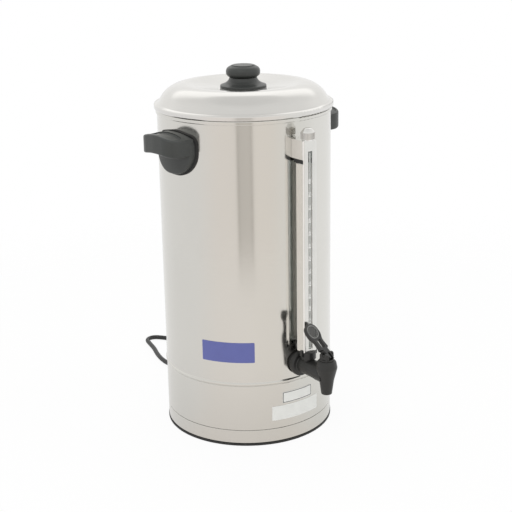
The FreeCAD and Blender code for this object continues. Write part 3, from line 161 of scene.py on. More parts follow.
class UrnGauge(bpy.types.PropertyGroup):
    """Sizes of the sight gauge's scale and of its cap's grip."""
    tube_radius: length("Tube radius", "Outside radius of the glass tube", 0.0037)
    top_mark: length("Top mark", "Height of the highest mark", 0.3605)
    mark_pitch: length("Mark pitch", "Distance from one mark to the next", 0.0169)
    mark_count: count("Marks", "How many marks the scale has", 13)
    mark_height: length("Mark height", "Thickness of a mark's line", 0.0013)
    mark_lift: length("Mark lift", "Distance of a mark's middle from the glass", 0.00007)
    mark_from: angle("Mark from", "Left end of a mark, as a turn round the glass from its front", -40.0)
    mark_to: angle("Mark to", "Right end of a mark", 62.0)
    film_middle: length("Film middle", "Height of the scale film's middle", 0.2695)
    film_height: length("Film height", "Height of the scale film", 0.2600)
    film_lift: length("Film lift", "Distance of the film's middle from the glass", 0.00002)
    film_from: angle("Film from", "Left edge of the film, as a turn round the glass from its front", -13.0)
    film_to: angle("Film to", "Right edge of the film", 62.0)
    strip_thickness: length("Strip thickness", "Thickness of the film and of a mark", 0.00005)
    first_number: count("First number", "Cups at the lowest mark", 20)
    number_step: count("Number step", "Cups from one mark to the next", 5)
    number_height: length("Number height", "Height of a numeral", 0.0040)
    number_depth: length("Number depth", "Half the thickness of a numeral", 0.00003)
    number_weight: length("Number weight", "How much a numeral's strokes are thickened", 0.00013)
    number_lift: length("Number lift", "Distance of a numeral's middle from the glass", 0.00009)
    number_rise: length("Number rise", "Distance from a mark's middle up to its numeral's foot", 0.0013)
    number_turn: angle("Number turn", "Turn of the numerals round the glass from its front", 12.0)
    rib_count: count("Cap ribs", "Grip ribs round the cap", 40)
    rib_radius: length("Rib radius", "Radius of one grip rib", 0.00042)
    rib_height: length("Rib height", "Height of one grip rib", 0.0082)
    rib_foot: length("Rib foot", "Distance from the cap's lower edge up to the ribs", 0.0009)


class UrnLeverGrip(bpy.types.PropertyGroup):
    """The raised studs in the recess of the tap's lever and the oval bead round them."""
    reach: length("Reach", "Distance of the oval's middle from the lever's pin", 0.0334)
    floor: length("Floor", "Distance of the studs' middle above the line through the pin", 0.0017)
    pitch: length("Pitch", "Distance from one stud to the next", 0.0030)
    stud_width: length("Stud width", "Width of one stud at its foot", 0.00170)
    stud_height: length("Stud height", "Height of one stud", 0.0009)
    half_length: length("Half length", "Half the length of the studded oval", 0.0075)
    half_width: length("Half width", "Half the width of the studded oval", 0.0082)
    bead_margin: length("Bead margin", "Distance of the bead's middle beyond the studded oval", 0.0013)
    bead_radius: length("Bead radius", "Radius of the bead's section", 0.00075)


class UrnSpring(bpy.types.PropertyGroup):
    """The spring round the tap's stem, which shortens as the stem rises; here it is drawn at one length, and
    the travel is not used.
    """
    wire: length("Wire", "Diameter of the spring's wire", 0.0008)
    turns: count("Turns", "Turns of the spring", 5, 1, 20)
    travel: length("Travel", "Rise of the stem at its limit", 0.0025)


class UrnThumbRest(bpy.types.PropertyGroup):
    """The dished rest in the hollow of each handle's ledge, drawn on a handle that points along X."""
    left_turn: angle("Left turn", "Turn of the left handle about the urn", 186.0)
    right_turn: angle("Right turn", "Turn of the right handle about the urn", 3.0)
    near: length("Near end", "Distance of the hollow's near wall from the urn's axis", 0.12680)
    far: length("Far end", "Distance of the hollow's far wall from the urn's axis", 0.14640)
    half_width: length("Half width", "Half the hollow's width", 0.02750)
    floor: length("Floor", "Height of the hollow's floor", 0.41225)
    least: length("Least thickness", "Thickness of the rest where it is thinnest", 0.0004)
    arch_top: length("Arch top", "Height of the ledge's arch at its middle", 0.42260)
    arch_rise: length("Arch rise", "Rise of the ledge's arch from its ends to its middle", 0.00740)
    arch_half: length("Arch half width", "Half the width of the ledge's arch", 0.03420)
    drop: length("Drop", "Depth of the rest's edge below the ledge", 0.0006)
    dish: length("Dish", "Depth of the rest's middle below its edge", 0.0009)
    slope: length("Slope", "Fall of the rest towards the tank", 0.0006)


class UrnCord(bpy.types.PropertyGroup):
    """The power cord's sizes."""
    diameter: length("Diameter", "Diameter of the sheath", 0.0070)
    coil_radius: length("Coil radius", "Radius of the coil's outer turn", 0.0460)
    coil_pitch: length("Coil pitch", "Distance from one turn to the next", 0.0076)
    coil_turns: count("Coil turns", "Turns in each layer of the coil", 3, 1, 8)
    relief_length: length("Strain relief", "Length of the strain relief outside the base", 0.0280)
    relief_grooves: count("Relief grooves", "Grooves round the strain relief", 5, 1, 12)
    neck_grooves: count("Neck grooves", "Grooves round the plug's neck", 4, 1, 12)


class UrnStudio(bpy.types.PropertyGroup):
    """The floor, the lamps and the camera."""
    floor_radius: length("Floor radius", "Radius of the floor", 1.35, 0.2, 5.0)
    floor_colour: colour("Floor", "Colour of the floor", (0.900, 0.900, 0.895))
    camera_turn: angle("Camera turn", "Turn of the camera round the urn from the tap", -35.4)
    camera_distance: length("Camera distance", "Level distance from the urn's axis", 1.4939, 0.2, 10.0)
    camera_height: length("Camera height", "Height of the camera", 0.7003, 0.0, 5.0)
    camera_yaw: angle("Camera yaw", "Turn of the view to the right of the axis", 0.4923)
    camera_pitch: angle("Camera pitch", "Downward tilt of the view", 17.4475)
    camera_roll: angle("Camera roll", "Roll of the view", -0.9828)
    lens: FloatProperty(name="Lens", description="Focal length in millimetres", default=79.88, min=10.0,
                        max=300.0, unit="CAMERA")


# Shared steps

# Corners closer than this become one
MERGE = 1e-7


def props():
    return bpy.context.scene.urn


def made(name, data):
    piece = bpy.data.objects.new(name, data)
    bpy.context.scene.collection.objects.link(piece)
    return piece


def plain_mesh(name, bm):
    mesh = bpy.data.meshes.new(name)
    bm.to_mesh(mesh)
    bm.free()
    return mesh


def closed_mesh(name, bm):
    """A mesh with its doubles merged and its faces pointing outwards."""
    bmesh.ops.remove_doubles(bm, verts=bm.verts, dist=MERGE)
    bmesh.ops.recalc_face_normals(bm, faces=bm.faces)
    return plain_mesh(name, bm)


def as_mesh(name, source):
    """The plain mesh of an object with its modifiers or curve settings applied; the source goes."""
    graph = bpy.context.evaluated_depsgraph_get()
    mesh = bpy.data.meshes.new_from_object(source.evaluated_get(graph), depsgraph=graph)
    mesh.name = name
    bpy.data.objects.remove(source)
    return mesh


def round_wall(turn, radius, level):
    """A point on a wall round the Z axis: turn from the tap, radius and height."""
    return Vector((math.sin(turn) * radius, -math.cos(turn) * radius, level))


def lathe(name, profile, matrix, steps):
    """A closed turned shape: (radius, height) pairs that start and end on the axis."""
    bm = bmesh.new()
    rings = []
    for radius, height in profile:
        turns = [2 * math.pi * k / steps for k in range(steps if radius else 1)]
        places = [Vector((radius * math.cos(turn), radius * math.sin(turn), height)) for turn in turns]
        rings.append([bm.verts.new(matrix @ place) for place in places])
    for low, high in zip(rings, rings[1:]):
        for k in range(steps):
            after = k + 1
            corners = (low[k % len(low)], low[after % len(low)], high[after % len(high)], high[k % len(high)])
            corners = list(dict.fromkeys(corners))
            if len(corners) > 2:
                bm.faces.new(corners)
    return closed_mesh(name, bm)


def rounded_outline(left, right, low, high, corner, steps=6):
    """Corners of a flat plate in its own plane, anticlockwise, each one rounded."""
    points = []
    for cx, cy, start in ((right - corner, low + corner, -90), (right - corner, high - corner, 0),
                          (left + corner, high - corner, 90), (left + corner, low + corner, 180)):
        for k in range(steps + 1):
            turn = math.radians(start + 90 * k / steps)
            points.append((cx + corner * math.cos(turn), cy + corner * math.sin(turn)))
    return points


# Node trees

# A noise pattern seldom leaves this range
NOISE_LOW, NOISE_HIGH = 0.3, 0.7


class Nodes:
    """A node tree under construction, where an input takes a socket or a plain value."""

    def __init__(self, tree):
        self.tree = tree

    def join(self, source, target):
        if isinstance(source, bpy.types.NodeSocket):
            self.tree.links.new(source, target)
        else:
            target.default_value = source

    def add(self, kind, inputs=None, **settings):
        node = self.tree.nodes.new(kind)
        for name, value in settings.items():
            setattr(node, name, value)
        for name, source in (inputs or {}).items():
            self.join(source, node.inputs[name])
        return node

    def maths(self, operation, *values):
        return self.add("ShaderNodeMath", dict(enumerate(values)), operation=operation).outputs[0]

    def parts(self, vector):
        return self.add("ShaderNodeSeparateXYZ", {"Vector": vector}).outputs

    def between(self, value, low, high, from_low=NOISE_LOW, from_high=NOISE_HIGH, curve="LINEAR"):
        """The value carried from its own range to the range from low to high."""
        span = self.add("ShaderNodeMapRange", {
            "Value": value, "From Min": from_low, "From Max": from_high, "To Min": low, "To Max": high},
            interpolation_type=curve)
        return span.outputs["Result"]

    def ramp(self, share, stops, curve="LINEAR"):
        """The colour of a share of one, from (place, colour) stops."""
        ramp = self.add("ShaderNodeValToRGB", {"Fac": share})
        ramp.color_ramp.interpolation = curve
        while len(ramp.color_ramp.elements) < len(stops):
            ramp.color_ramp.elements.new(0.5)
        for element, (place, shade) in zip(ramp.color_ramp.elements, stops):
            element.position = place
            element.color = (*shade, 1)
        return ramp.outputs["Color"]

    def blend(self, share, first, second, how="MIX"):
        """Two colours mixed."""
        return self.add("ShaderNodeMix", {"Factor": share, "A": first, "B": second}, data_type="RGBA",
                        blend_type=how).outputs["Result"]

    def either(self, share, first, second):
        """Two shaders mixed."""
        return self.add("ShaderNodeMixShader", {"Fac": share, 1: first, 2: second}).outputs[0]


# Materials

# The guard's outer skins, which its finish tells from its inside: half its width, its front, and the
# depth in which one look passes into the other
GUARD_HALF = 9.80 * MM
GUARD_FRONT = -139.75 * MM
GUARD_SKIN = 0.05 * MM


class Finish(Nodes):
    """A node material under construction; every pattern reads Object coordinates."""

    def __init__(self, name, **values):
        self.material = bpy.data.materials.new(name)
        self.material.use_nodes = True
        super().__init__(self.material.node_tree)
        self.shader = self.tree.nodes["Principled BSDF"]
        self.place = self.add("ShaderNodeTexCoord").outputs["Object"]
        for socket, value in values.items():
            self.shader.inputs[socket.replace("_", " ")].default_value = value

    def noise(self, scale, stretch=(1, 1, 1), detail=3.0, roughness=0.5):
        mapping = self.add("ShaderNodeMapping", {"Vector": self.place, "Scale": stretch})
        return self.add("ShaderNodeTexNoise", {
            "Vector": mapping.outputs["Vector"], "Scale": scale, "Detail": detail,
            "Roughness": roughness}).outputs["Fac"]

    def rings(self, scale, distortion):
        return self.add("ShaderNodeTexWave", {
            "Vector": self.place, "Scale": scale, "Distortion": distortion, "Detail": 2.0},
            wave_type="RINGS", rings_direction="Z").outputs["Fac"]

    def tint(self, share, base, spread):
        """Base Color between a slightly darker and a slightly lighter tone."""
        darker = [c * (1 - spread) for c in base]
        lighter = [min(1, c * (1 + spread)) for c in base]
        tone = self.ramp(share, ((NOISE_LOW, darker), (NOISE_HIGH, lighter)))
        self.join(tone, self.shader.inputs["Base Color"])
        return tone

    def roughness(self, value):
        self.join(value, self.shader.inputs["Roughness"])

    def bump(self, height, strength, distance):
        """Raise the grain, and return the finished material."""
        bump = self.add("ShaderNodeBump", {"Height": height, "Strength": strength, "Distance": distance})
        self.join(bump.outputs["Normal"], self.shader.inputs["Normal"])
        return self.material


def rolled_steel(name, base, low, high):
    """Polished sheet with faint lines round the body, where the sheet was rolled and buffed."""
    finish = Finish(name, Metallic=1.0)
    finish.tint(finish.noise(9.0, (1, 1, 0.35)), base, 0.018)
    lines = finish.noise(60.0, (0.6, 0.6, 26.0), 4.0, 0.62)
    finish.roughness(finish.between(lines, low, high))
    return finish.bump(lines, 0.05, 0.00006)


def spun_steel(name, base, low, high):
    """Pressed and spun sheet with fine rings round its middle."""
    finish = Finish(name, Metallic=1.0)
    finish.tint(finish.noise(14.0), base, 0.02)
    rings = finish.rings(420.0, 1.4)
    finish.roughness(finish.between(rings, low, high, 0.0, 1.0))
    return finish.bump(rings, 0.035, 0.00004)


def plain_metal(name, base, low, high, grain, strength):
    finish = Finish(name, Metallic=1.0)
    finish.tint(finish.noise(38.0), base, 0.06)
    mottle = finish.noise(grain, detail=4.0)
    finish.roughness(finish.between(mottle, low, high))
    return finish.bump(mottle, strength, 0.00008)


def guard_steel(name, base):
    """Polished, with painted light that makes its sides and its inside paler than its front, and duller faces
    towards the glass and the tank.
    """
    finish = Finish(name)
    front = finish.tint(finish.noise(38.0), base, 0.04)
    parts = finish.parts(finish.place)
    aside = finish.maths("ABSOLUTE", parts["X"])
    within = finish.between(aside, 1.0, 0.0, GUARD_HALF, GUARD_HALF + GUARD_SKIN)
    behind = finish.between(parts["Y"], 0.0, 1.0, GUARD_FRONT, GUARD_FRONT + GUARD_SKIN)
    inside = finish.maths("MULTIPLY", within, behind)
    # painted light: the sides and the inside take the pale colour, lighter than the front of the same steel
    painted_light_sides = finish.blend(behind, front, (*props().finishes.pale_steel, 1))
    finish.join(painted_light_sides, finish.shader.inputs["Base Color"])
    finish.join(finish.between(inside, 1.0, 0.50, 0.0, 1.0), finish.shader.inputs["Metallic"])
    finish.roughness(finish.between(inside, 0.17, 0.40, 0.0, 1.0))
    return finish.bump(finish.noise(140.0, (1, 1, 0.1), 4.0), 0.04, 0.00008)


def moulded(name, base, low, high, grain, strength, spread=0.10):
    """Moulded plastic or rubber with a spark-eroded grain, or a printed ink."""
    finish = Finish(name, Specular_IOR_Level=0.5)
    finish.tint(finish.noise(26.0), base, spread)
    texture = finish.noise(grain, detail=2.0)
    finish.roughness(finish.between(texture, low, high))
    return finish.bump(texture, strength, 0.00010)


def printed_plate(name, base):
    """A printed foil plate with a clear coat."""
    finish = Finish(name, Coat_Weight=0.35, Coat_Roughness=0.12)
    finish.tint(finish.noise(70.0, detail=4.0), base, 0.03)
    finish.roughness(finish.between(finish.noise(300.0), 0.32, 0.42))
    return finish.bump(finish.noise(900.0), 0.05, 0.00003)


def gauge_glass(name, base):
    finish = Finish(name, Transmission_Weight=1.0, IOR=1.47)
    finish.tint(finish.noise(30.0, (1, 1, 0.2)), base, 0.01)
    finish.roughness(finish.between(finish.noise(120.0, (1, 1, 0.1)), 0.01, 0.03))
    return finish.bump(finish.noise(40.0, (1, 1, 0.15)), 0.03, 0.0001)


def clear_film(name, base):
    """A milky clear film with a satin face."""
    finish = Finish(name, Alpha=0.72)
    finish.tint(finish.noise(50.0, (1, 1, 0.3)), base, 0.05)
    finish.roughness(finish.between(finish.noise(200.0), 0.22, 0.34))
    return finish.bump(finish.noise(500.0), 0.04, 0.00003)


def seal(name, base):
    finish = Finish(name, Subsurface_Weight=0.15, Subsurface_Scale=0.002)
    finish.tint(finish.noise(60.0), base, 0.05)
    finish.roughness(finish.between(finish.noise(240.0), 0.42, 0.55))
    return finish.bump(finish.noise(700.0), 0.08, 0.00005)


def fired(name, base):
    finish = Finish(name, Specular_IOR_Level=0.45)
    finish.tint(finish.noise(90.0, detail=5.0), base, 0.07)
    finish.roughness(finish.between(finish.noise(500.0), 0.5, 0.68))
    return finish.bump(finish.noise(800.0, detail=4.0), 0.2, 0.00012)


# How each finish is made, its colour among the finishes' properties and, for metals and mouldings, its
# least and greatest roughness, the scale of its grain and the strength of its bump
RECIPES = {
    "tank_steel": (rolled_steel, "steel", 0.10, 0.17),
    "lid_steel": (spun_steel, "lid_steel", 0.13, 0.19),
    "bright_steel": (plain_metal, "guard_steel", 0.12, 0.20, 140.0, 0.04),
    "guard_steel": (guard_steel, "guard_steel"),
    "pale_steel": (plain_metal, "pale_steel", 0.20, 0.26, 140.0, 0.02),
    "inner_steel": (plain_metal, "inner_steel", 0.24, 0.36, 220.0, 0.12),
    "aluminium": (plain_metal, "aluminium", 0.26, 0.38, 300.0, 0.10),
    "zinc": (plain_metal, "zinc", 0.22, 0.34, 400.0, 0.10),
    "element_sheath": (plain_metal, "element", 0.38, 0.55, 260.0, 0.18),
    "handle_plastic": (moulded, "handle", 0.30, 0.40, 1500.0, 0.08),
    "tap_plastic": (moulded, "tap", 0.34, 0.44, 1300.0, 0.07),
    "grip_plastic": (moulded, "grip", 0.28, 0.36, 1300.0, 0.05),
    "rubber": (moulded, "rubber", 0.52, 0.66, 900.0, 0.14),
    "cord_sheath": (moulded, "cord", 0.38, 0.50, 800.0, 0.10),
    "silicone": (seal, "silicone"),
    "ceramic": (fired, "ceramic"),
    "brass": (plain_metal, "brass", 0.20, 0.32, 300.0, 0.06),
    "glass": (gauge_glass, "glass"),
    "scale_film": (clear_film, "film"),
    "plate_blue": (printed_plate, "plate_blue"),
    "plate_pale": (printed_plate, "plate_pale"),
    "print_black": (moulded, "line", 0.40, 0.50, 900.0, 0.04),
    "print_white": (moulded, "mark", 0.36, 0.46, 900.0, 0.04, 0.03),
}


def finish_of(key):
    """The material of a named finish, made the first time that it is asked for."""
    name = "urn_" + key
    if name in bpy.data.materials:
        return bpy.data.materials[name]
    recipe, tone, *values = RECIPES[key]
    return recipe(name, getattr(props().finishes, tone), *values)


def dress(key, *names):
    """Give CAD nodes a finish; their meshes stay as they are."""
    for name in names:
        slots = NODES[name].data.materials
        slots.clear()
        slots.append(finish_of(key))


def fit(piece, key, body, slot, *stands_for):
    """Give a new piece its finish, the body that it moves with and the nodes that it stands for."""
    piece.data.materials.clear()
    piece.data.materials.append(finish_of(key))
    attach(piece, body)
    if stands_for:
        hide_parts(*stands_for)
    return piece


def smooth_piece(name, mesh, key, body, slot, *stands_for, crease=35.0):
    """A piece made from its mesh, smooth but for edges sharper than the crease in degrees."""
    mesh.shade_smooth()
    mesh.set_sharp_from_angle(angle=math.radians(crease))
    return fit(made(name, mesh), key, body, slot, *stands_for)


# Geometry Nodes

class Tree(Nodes):
    """A Geometry Nodes tree with named inputs, run on an empty mesh and turned into a plain mesh."""

    def __init__(self, name):
        super().__init__(bpy.data.node_groups.new(name, "GeometryNodeTree"))
        self.tree.interface.new_socket(name="Geometry", in_out="OUTPUT", socket_type="NodeSocketGeometry")
        self.entry = self.add("NodeGroupInput")
        self.exit = self.add("NodeGroupOutput")
        self.values = {}

    def ask(self, name, value):
        """A named input of the tree, whole or not as its value is."""
        kind = "NodeSocketInt" if isinstance(value, int) else "NodeSocketFloat"
        socket = self.tree.interface.new_socket(name=name, in_out="INPUT", socket_type=kind)
        self.values[socket.identifier] = value
        return self.entry.outputs[name]

    def vector(self, x=0.0, y=0.0, z=0.0):
        return self.add("ShaderNodeCombineXYZ", {"X": x, "Y": y, "Z": z}).outputs["Vector"]

    def half(self, value):
        return self.maths("MULTIPLY", value, 0.5)

    def bar(self, sides, radius, depth):
        return self.add("GeometryNodeMeshCylinder", {
            "Vertices": sides, "Radius": radius, "Depth": depth}).outputs["Mesh"]

    def loop(self, number, radius):
        """Points round a circle, to carry copies."""
        return self.add("GeometryNodeMeshCircle", {"Vertices": number, "Radius": radius}).outputs["Mesh"]

    def circle(self, steps, radius):
        """A circle to sweep, or to sweep along."""
        return self.add("GeometryNodeCurvePrimitiveCircle", {
            "Resolution": steps, "Radius": radius}).outputs["Curve"]

    def moved(self, geometry, **values):
        """The geometry with a Translation, a Rotation or a Scale."""
        return self.add("GeometryNodeTransform", {"Geometry": geometry, **values}).outputs["Geometry"]

    def swept(self, path, section, caps):
        return self.add("GeometryNodeCurveToMesh", {
            "Curve": path, "Profile Curve": section, "Fill Caps": caps}).outputs["Mesh"]

    def together(self, *shapes):
        node = self.add("GeometryNodeJoinGeometry")
        for shape in shapes:
            self.join(shape, node.inputs["Geometry"])
        return node.outputs["Geometry"]

    def copies(self, points, shape):
        return self.add("GeometryNodeInstanceOnPoints", {
            "Points": points, "Instance": shape}).outputs["Instances"]

    def run(self, geometry, key):
        """Realise, set the material, and return the result as a plain mesh."""
        real = self.add("GeometryNodeRealizeInstances", {"Geometry": geometry}).outputs["Geometry"]
        painted = self.add("GeometryNodeSetMaterial", {"Geometry": real, "Material": finish_of(key)})
        self.join(painted.outputs["Geometry"], self.exit.inputs["Geometry"])
        carrier = made(self.tree.name + "_carrier", bpy.data.meshes.new(self.tree.name))
        modifier = carrier.modifiers.new("build", "NODES")
        modifier.node_group = self.tree
        for identifier, value in self.values.items():
            modifier[identifier] = value
        return as_mesh(self.tree.name, carrier)


# Stage

# The room that polished surfaces mirror, by degrees round from the camera: pale walls, warmer behind
# the camera, and a dim gap there
WALL_TONES = (
    (-180, (0.95, 0.95, 0.95)), (-75, (0.90, 0.89, 0.885)), (-28, (0.93, 0.88, 0.845)),
    (28, (0.93, 0.88, 0.835)), (72, (0.92, 0.92, 0.905)), (110, (1.0, 1.0, 1.0)), (180, (0.95, 0.95, 0.95)))
GAP_TONES = (
    (-11.5, (1.0, 1.0, 1.0)), (-9.0, (0.54, 0.54, 0.52)), (-6.5, (0.74, 0.74, 0.73)),
    (6.5, (0.76, 0.76, 0.75)), (8.5, (0.57, 0.57, 0.56)), (11.5, (1.0, 1.0, 1.0)))

# By the sine of the height above the horizon: where the walls turn into the ceiling, the room's
# brightness, and a lit panel high behind the urn
CEILING_TONE = (0.99, 0.985, 0.97)
CEILING_RISE = (-0.12, 0.10)
HEIGHT_TONES = ((-0.19, 1.0), (0.40, 0.98), (0.60, 0.90), (0.84, 0.86), (0.98, 0.78))
PANEL_HEIGHTS = ((0.38, 0.0), (0.48, 1.0), (0.80, 1.0), (0.87, 0.0))
PANEL_SIDES = (
    (-155, (1.0, 1.0, 1.0)), (-125, (0.0, 0.0, 0.0)), (125, (0.0, 0.0, 0.0)), (155, (1.0, 1.0, 1.0)))
PANEL_GAIN = 0.38

# What the room casts on the urn and the floor
ROOM_LIGHT = (1.0, 1.0, 0.995, 1)
ROOM_STRENGTH = 0.72

# The camera sees the floor nearly white, and metal sees the walls' tones in it, with painted shade that dims
# them at the urn's foot. It lies a little under the urn, and fades out between two shares of its radius.
WHITE = (1.0, 1.0, 1.0, 1)
FLOOR_TO_CAMERA = 0.92
FLOOR_TO_METAL = 0.80
FLOOR_PAINTED_SHADE_TONE = 0.90
FLOOR_PAINTED_SHADE_SPAN = (0.10, 0.42)
FLOOR_FADE = (0.50, 0.86)
FLOOR_DROP = 0.2 * MM

# Name, place, width and power of each lamp, and the point on the urn's axis that they face
LAMPS = (
    ("key_lamp", (-1.5, -1.0, 2.1), 1.5, 17.0),
    ("fill_lamp", (1.6, -1.5, 1.3), 1.2, 7.0),
    ("top_lamp", (0.1, 0.5, 2.3), 1.4, 9.0))
LAMP_AIM = Vector((0, 0, 0.2))


class URN_OT_stage(bpy.types.Operator):
    """Make the floor, the backdrop, the lamps and the camera"""
    bl_idname = "urn.stage"
    bl_label = "Stage"

    def execute(self, context):
        studio = props().studio
        self.make_floor(studio)
        self.make_world(studio)
        for name, place, size, power in LAMPS:
            self.lamp(name, place, size, power)
        self.make_camera(studio)
        return {"FINISHED"}

    def make_floor(self, studio):
        bm = bmesh.new()
        bmesh.ops.create_circle(bm, cap_ends=True, radius=studio.floor_radius, segments=128,
                                matrix=Matrix.Translation((0, 0, -FLOOR_DROP)))
        floor = made("studio_floor", plain_mesh("studio_floor", bm))
        floor.data.materials.append(self.floor_finish(studio))

    def way_round(self, nodes, direction, studio):
        """How far round from the camera a direction points, as a share of a full turn."""
        turned = nodes.add("ShaderNodeVectorRotate", {
            "Vector": direction, "Angle": -studio.camera_turn}, rotation_type="Z_AXIS")
        parts = nodes.parts(turned.outputs["Vector"])
        turn = nodes.maths("ARCTAN2", parts["X"], nodes.maths("MULTIPLY", parts["Y"], -1.0))
        return nodes.between(turn, 0.0, 1.0, -math.pi, math.pi)

    def tones(self, nodes, way, stops):
        return nodes.ramp(way, [((degrees + 180.0) / 360.0, shade) for degrees, shade in stops], "EASE")

    def levels(self, nodes, rise, stops):
        return nodes.ramp(rise, [((sine + 1.0) / 2.0, (tone, tone, tone)) for sine, tone in stops], "EASE")

    def rays(self, nodes):
        """Which rays the camera sees by, directly or through glass, and which metal reflects."""
        rays = nodes.add("ShaderNodeLightPath").outputs
        seen = nodes.maths("MAXIMUM", rays["Is Camera Ray"], rays["Is Transmission Ray"])
        return seen, rays["Is Glossy Ray"]

    def floor_finish(self, studio):
        """A pale matt floor that keeps the urn's shadow and fades out before its edge."""
        material = bpy.data.materials.new("studio_floor")
        material.use_nodes = True
        nodes = Nodes(material.node_tree)
        nodes.tree.nodes.clear()
        place = nodes.add("ShaderNodeTexCoord").outputs["Object"]
        noise = nodes.add("ShaderNodeTexNoise", {"Vector": place, "Scale": 35.0}).outputs["Fac"]
        dull = [c * 0.99 for c in studio.floor_colour]
        tone = nodes.ramp(noise, ((0.0, dull), (1.0, studio.floor_colour)))
        matt = nodes.add("ShaderNodeBsdfDiffuse", {"Color": tone}).outputs[0]
        distance = nodes.add("ShaderNodeVectorMath", {0: place}, operation="LENGTH").outputs["Value"]
        white = nodes.add("ShaderNodeEmission", {"Color": WHITE}).outputs[0]
        # painted shade: what metal mirrors of the floor is dimmed near the urn's foot, where the urn would
        # shade it
        near = nodes.between(distance, FLOOR_PAINTED_SHADE_TONE, 1.0, *FLOOR_PAINTED_SHADE_SPAN, "SMOOTHSTEP")
        walls = self.tones(nodes, self.way_round(nodes, place, studio), WALL_TONES)
        mirrored = nodes.add("ShaderNodeEmission", {"Color": walls, "Strength": near}).outputs[0]
        seen, reflected = self.rays(nodes)
        bright = nodes.either(nodes.maths("MULTIPLY", seen, FLOOR_TO_CAMERA), matt, white)
        lit = nodes.either(nodes.maths("MULTIPLY", reflected, FLOOR_TO_METAL), bright, mirrored)
        start, end = [studio.floor_radius * share for share in FLOOR_FADE]
        fade = nodes.between(distance, 0.0, 1.0, start, end, "SMOOTHSTEP")
        clear = nodes.add("ShaderNodeBsdfTransparent").outputs[0]
        nodes.add("ShaderNodeOutputMaterial", {"Surface": nodes.either(fade, lit, clear)})
        return material

    def make_world(self, studio):
        """White to the camera; a soft room, dim behind the camera, to what mirrors it."""
        world = bpy.context.scene.world or bpy.data.worlds.new("studio")
        bpy.context.scene.world = world
        world.use_nodes = True
        nodes = Nodes(world.node_tree)
        nodes.tree.nodes.clear()
        place = nodes.add("ShaderNodeTexCoord").outputs["Generated"]
        height = nodes.parts(place)["Z"]
        rise = nodes.between(height, 0.0, 1.0, -1.0, 1.0)
        way = self.way_round(nodes, place, studio)
        walls = self.tones(nodes, way, WALL_TONES)
        room = nodes.blend(1.0, walls, self.tones(nodes, way, GAP_TONES), "MULTIPLY")
        up = nodes.between(height, 0.0, 1.0, *CEILING_RISE, "SMOOTHSTEP")
        ceiling = nodes.blend(up, room, (*CEILING_TONE, 1))
        panel = nodes.maths("MULTIPLY", self.levels(nodes, rise, PANEL_HEIGHTS),
                            self.tones(nodes, way, PANEL_SIDES))
        brightness = nodes.maths("MULTIPLY_ADD", panel, PANEL_GAIN, self.levels(nodes, rise, HEIGHT_TONES))
        mirrored, lighting, white = [
            nodes.add("ShaderNodeBackground", {"Color": tone, "Strength": strength}).outputs[0]
            for tone, strength in ((ceiling, brightness), (ROOM_LIGHT, ROOM_STRENGTH), (WHITE, 1.0))]
        seen, reflected = self.rays(nodes)
        shown = nodes.either(seen, nodes.either(reflected, lighting, mirrored), white)
        nodes.add("ShaderNodeOutputWorld", {"Surface": shown})

    def lamp(self, name, place, size, power):
        data = bpy.data.lights.new(name, "AREA")
        data.shape = "DISK"
        data.size = size
        data.energy = power
        lamp = made(name, data)
        lamp.visible_glossy = False
        lamp.location = place
        lamp.rotation_euler = (LAMP_AIM - Vector(place)).to_track_quat("-Z", "Y").to_euler()

    def make_camera(self, studio):
        data = bpy.data.cameras.new("camera")
        data.lens = studio.lens
        data.sensor_width = 36.0
        data.clip_start = 0.05
        data.clip_end = 50.0
        camera = made("camera", data)
        yaw, pitch, roll = studio.camera_yaw, studio.camera_pitch, studio.camera_roll
        ahead = Vector((math.sin(yaw) * math.cos(pitch), math.cos(yaw) * math.cos(pitch), -math.sin(pitch)))
        level = ahead.cross(Vector((0, 0, 1))).normalized()
        upward = level.cross(ahead)
        right = level * math.cos(roll) + upward * math.sin(roll)
        top = upward * math.cos(roll) - level * math.sin(roll)
        facing = Matrix((right, top, -ahead)).transposed().to_4x4()
        round_urn = Matrix.Rotation(studio.camera_turn, 4, "Z")
        place = Matrix.Translation((0, -studio.camera_distance, studio.camera_height))
        camera.matrix_world = round_urn @ place @ facing
        bpy.context.scene.camera = camera


# Power cord

# In millimetres: where the cord begins inside its relief, its way to the coil, and its way from the
# coil to the plug as (ahead, aside, height)
CORD_EXIT = (0.0, 131.3, 30.0)
CORD_ROUTE = (
    CORD_EXIT, (0.0, 147.0, 30.0), (-2.0, 166.0, 22.5), (-5.0, 184.0, 11.0), (-7.0, 206.0, 3.8),
    (-6.0, 229.0, 3.6), (0.0, 254.0, 3.6), (9.0, 278.0, 3.6), (14.0, 300.0, 3.6), (19.0, 319.0, 3.6),
    (34.0, 323.0, 3.6), (48.0, 306.0, 3.6), (60.0, 283.0, 3.6), (68.5, 258.5, 3.6), (74.0, 235.0, 3.6))
TAIL_STEPS = (
    (0.0, 0.0, 11.2), (20.0, 0.0, 11.2), (40.0, -2.0, 8.2), (59.0, -7.0, 6.4),
    (77.0, -14.0, 7.4), (93.0, -23.0, 9.1), (108.0, -33.0, 9.1))
COIL_POINTS_A_TURN = 12

# Where the strain relief stands on the wall, and the sections of its grooves and of the plug neck's, as
# (along, depth) in millimetres, but along the relief in shares of the grooves' pitch
RELIEF_PLACE = Vector((0.0, 115.3 * MM, 30.0 * MM))
RELIEF_GROOVE = ((0.0, 0.0), (0.10, 0.55), (0.20, 0.85), (0.38, 0.85), (0.48, 0.55), (0.58, 0.0))
NECK_GROOVE = ((0.0, 0.0), (0.4, 0.6), (1.0, 0.8), (1.6, 0.6), (2.0, 0.0))


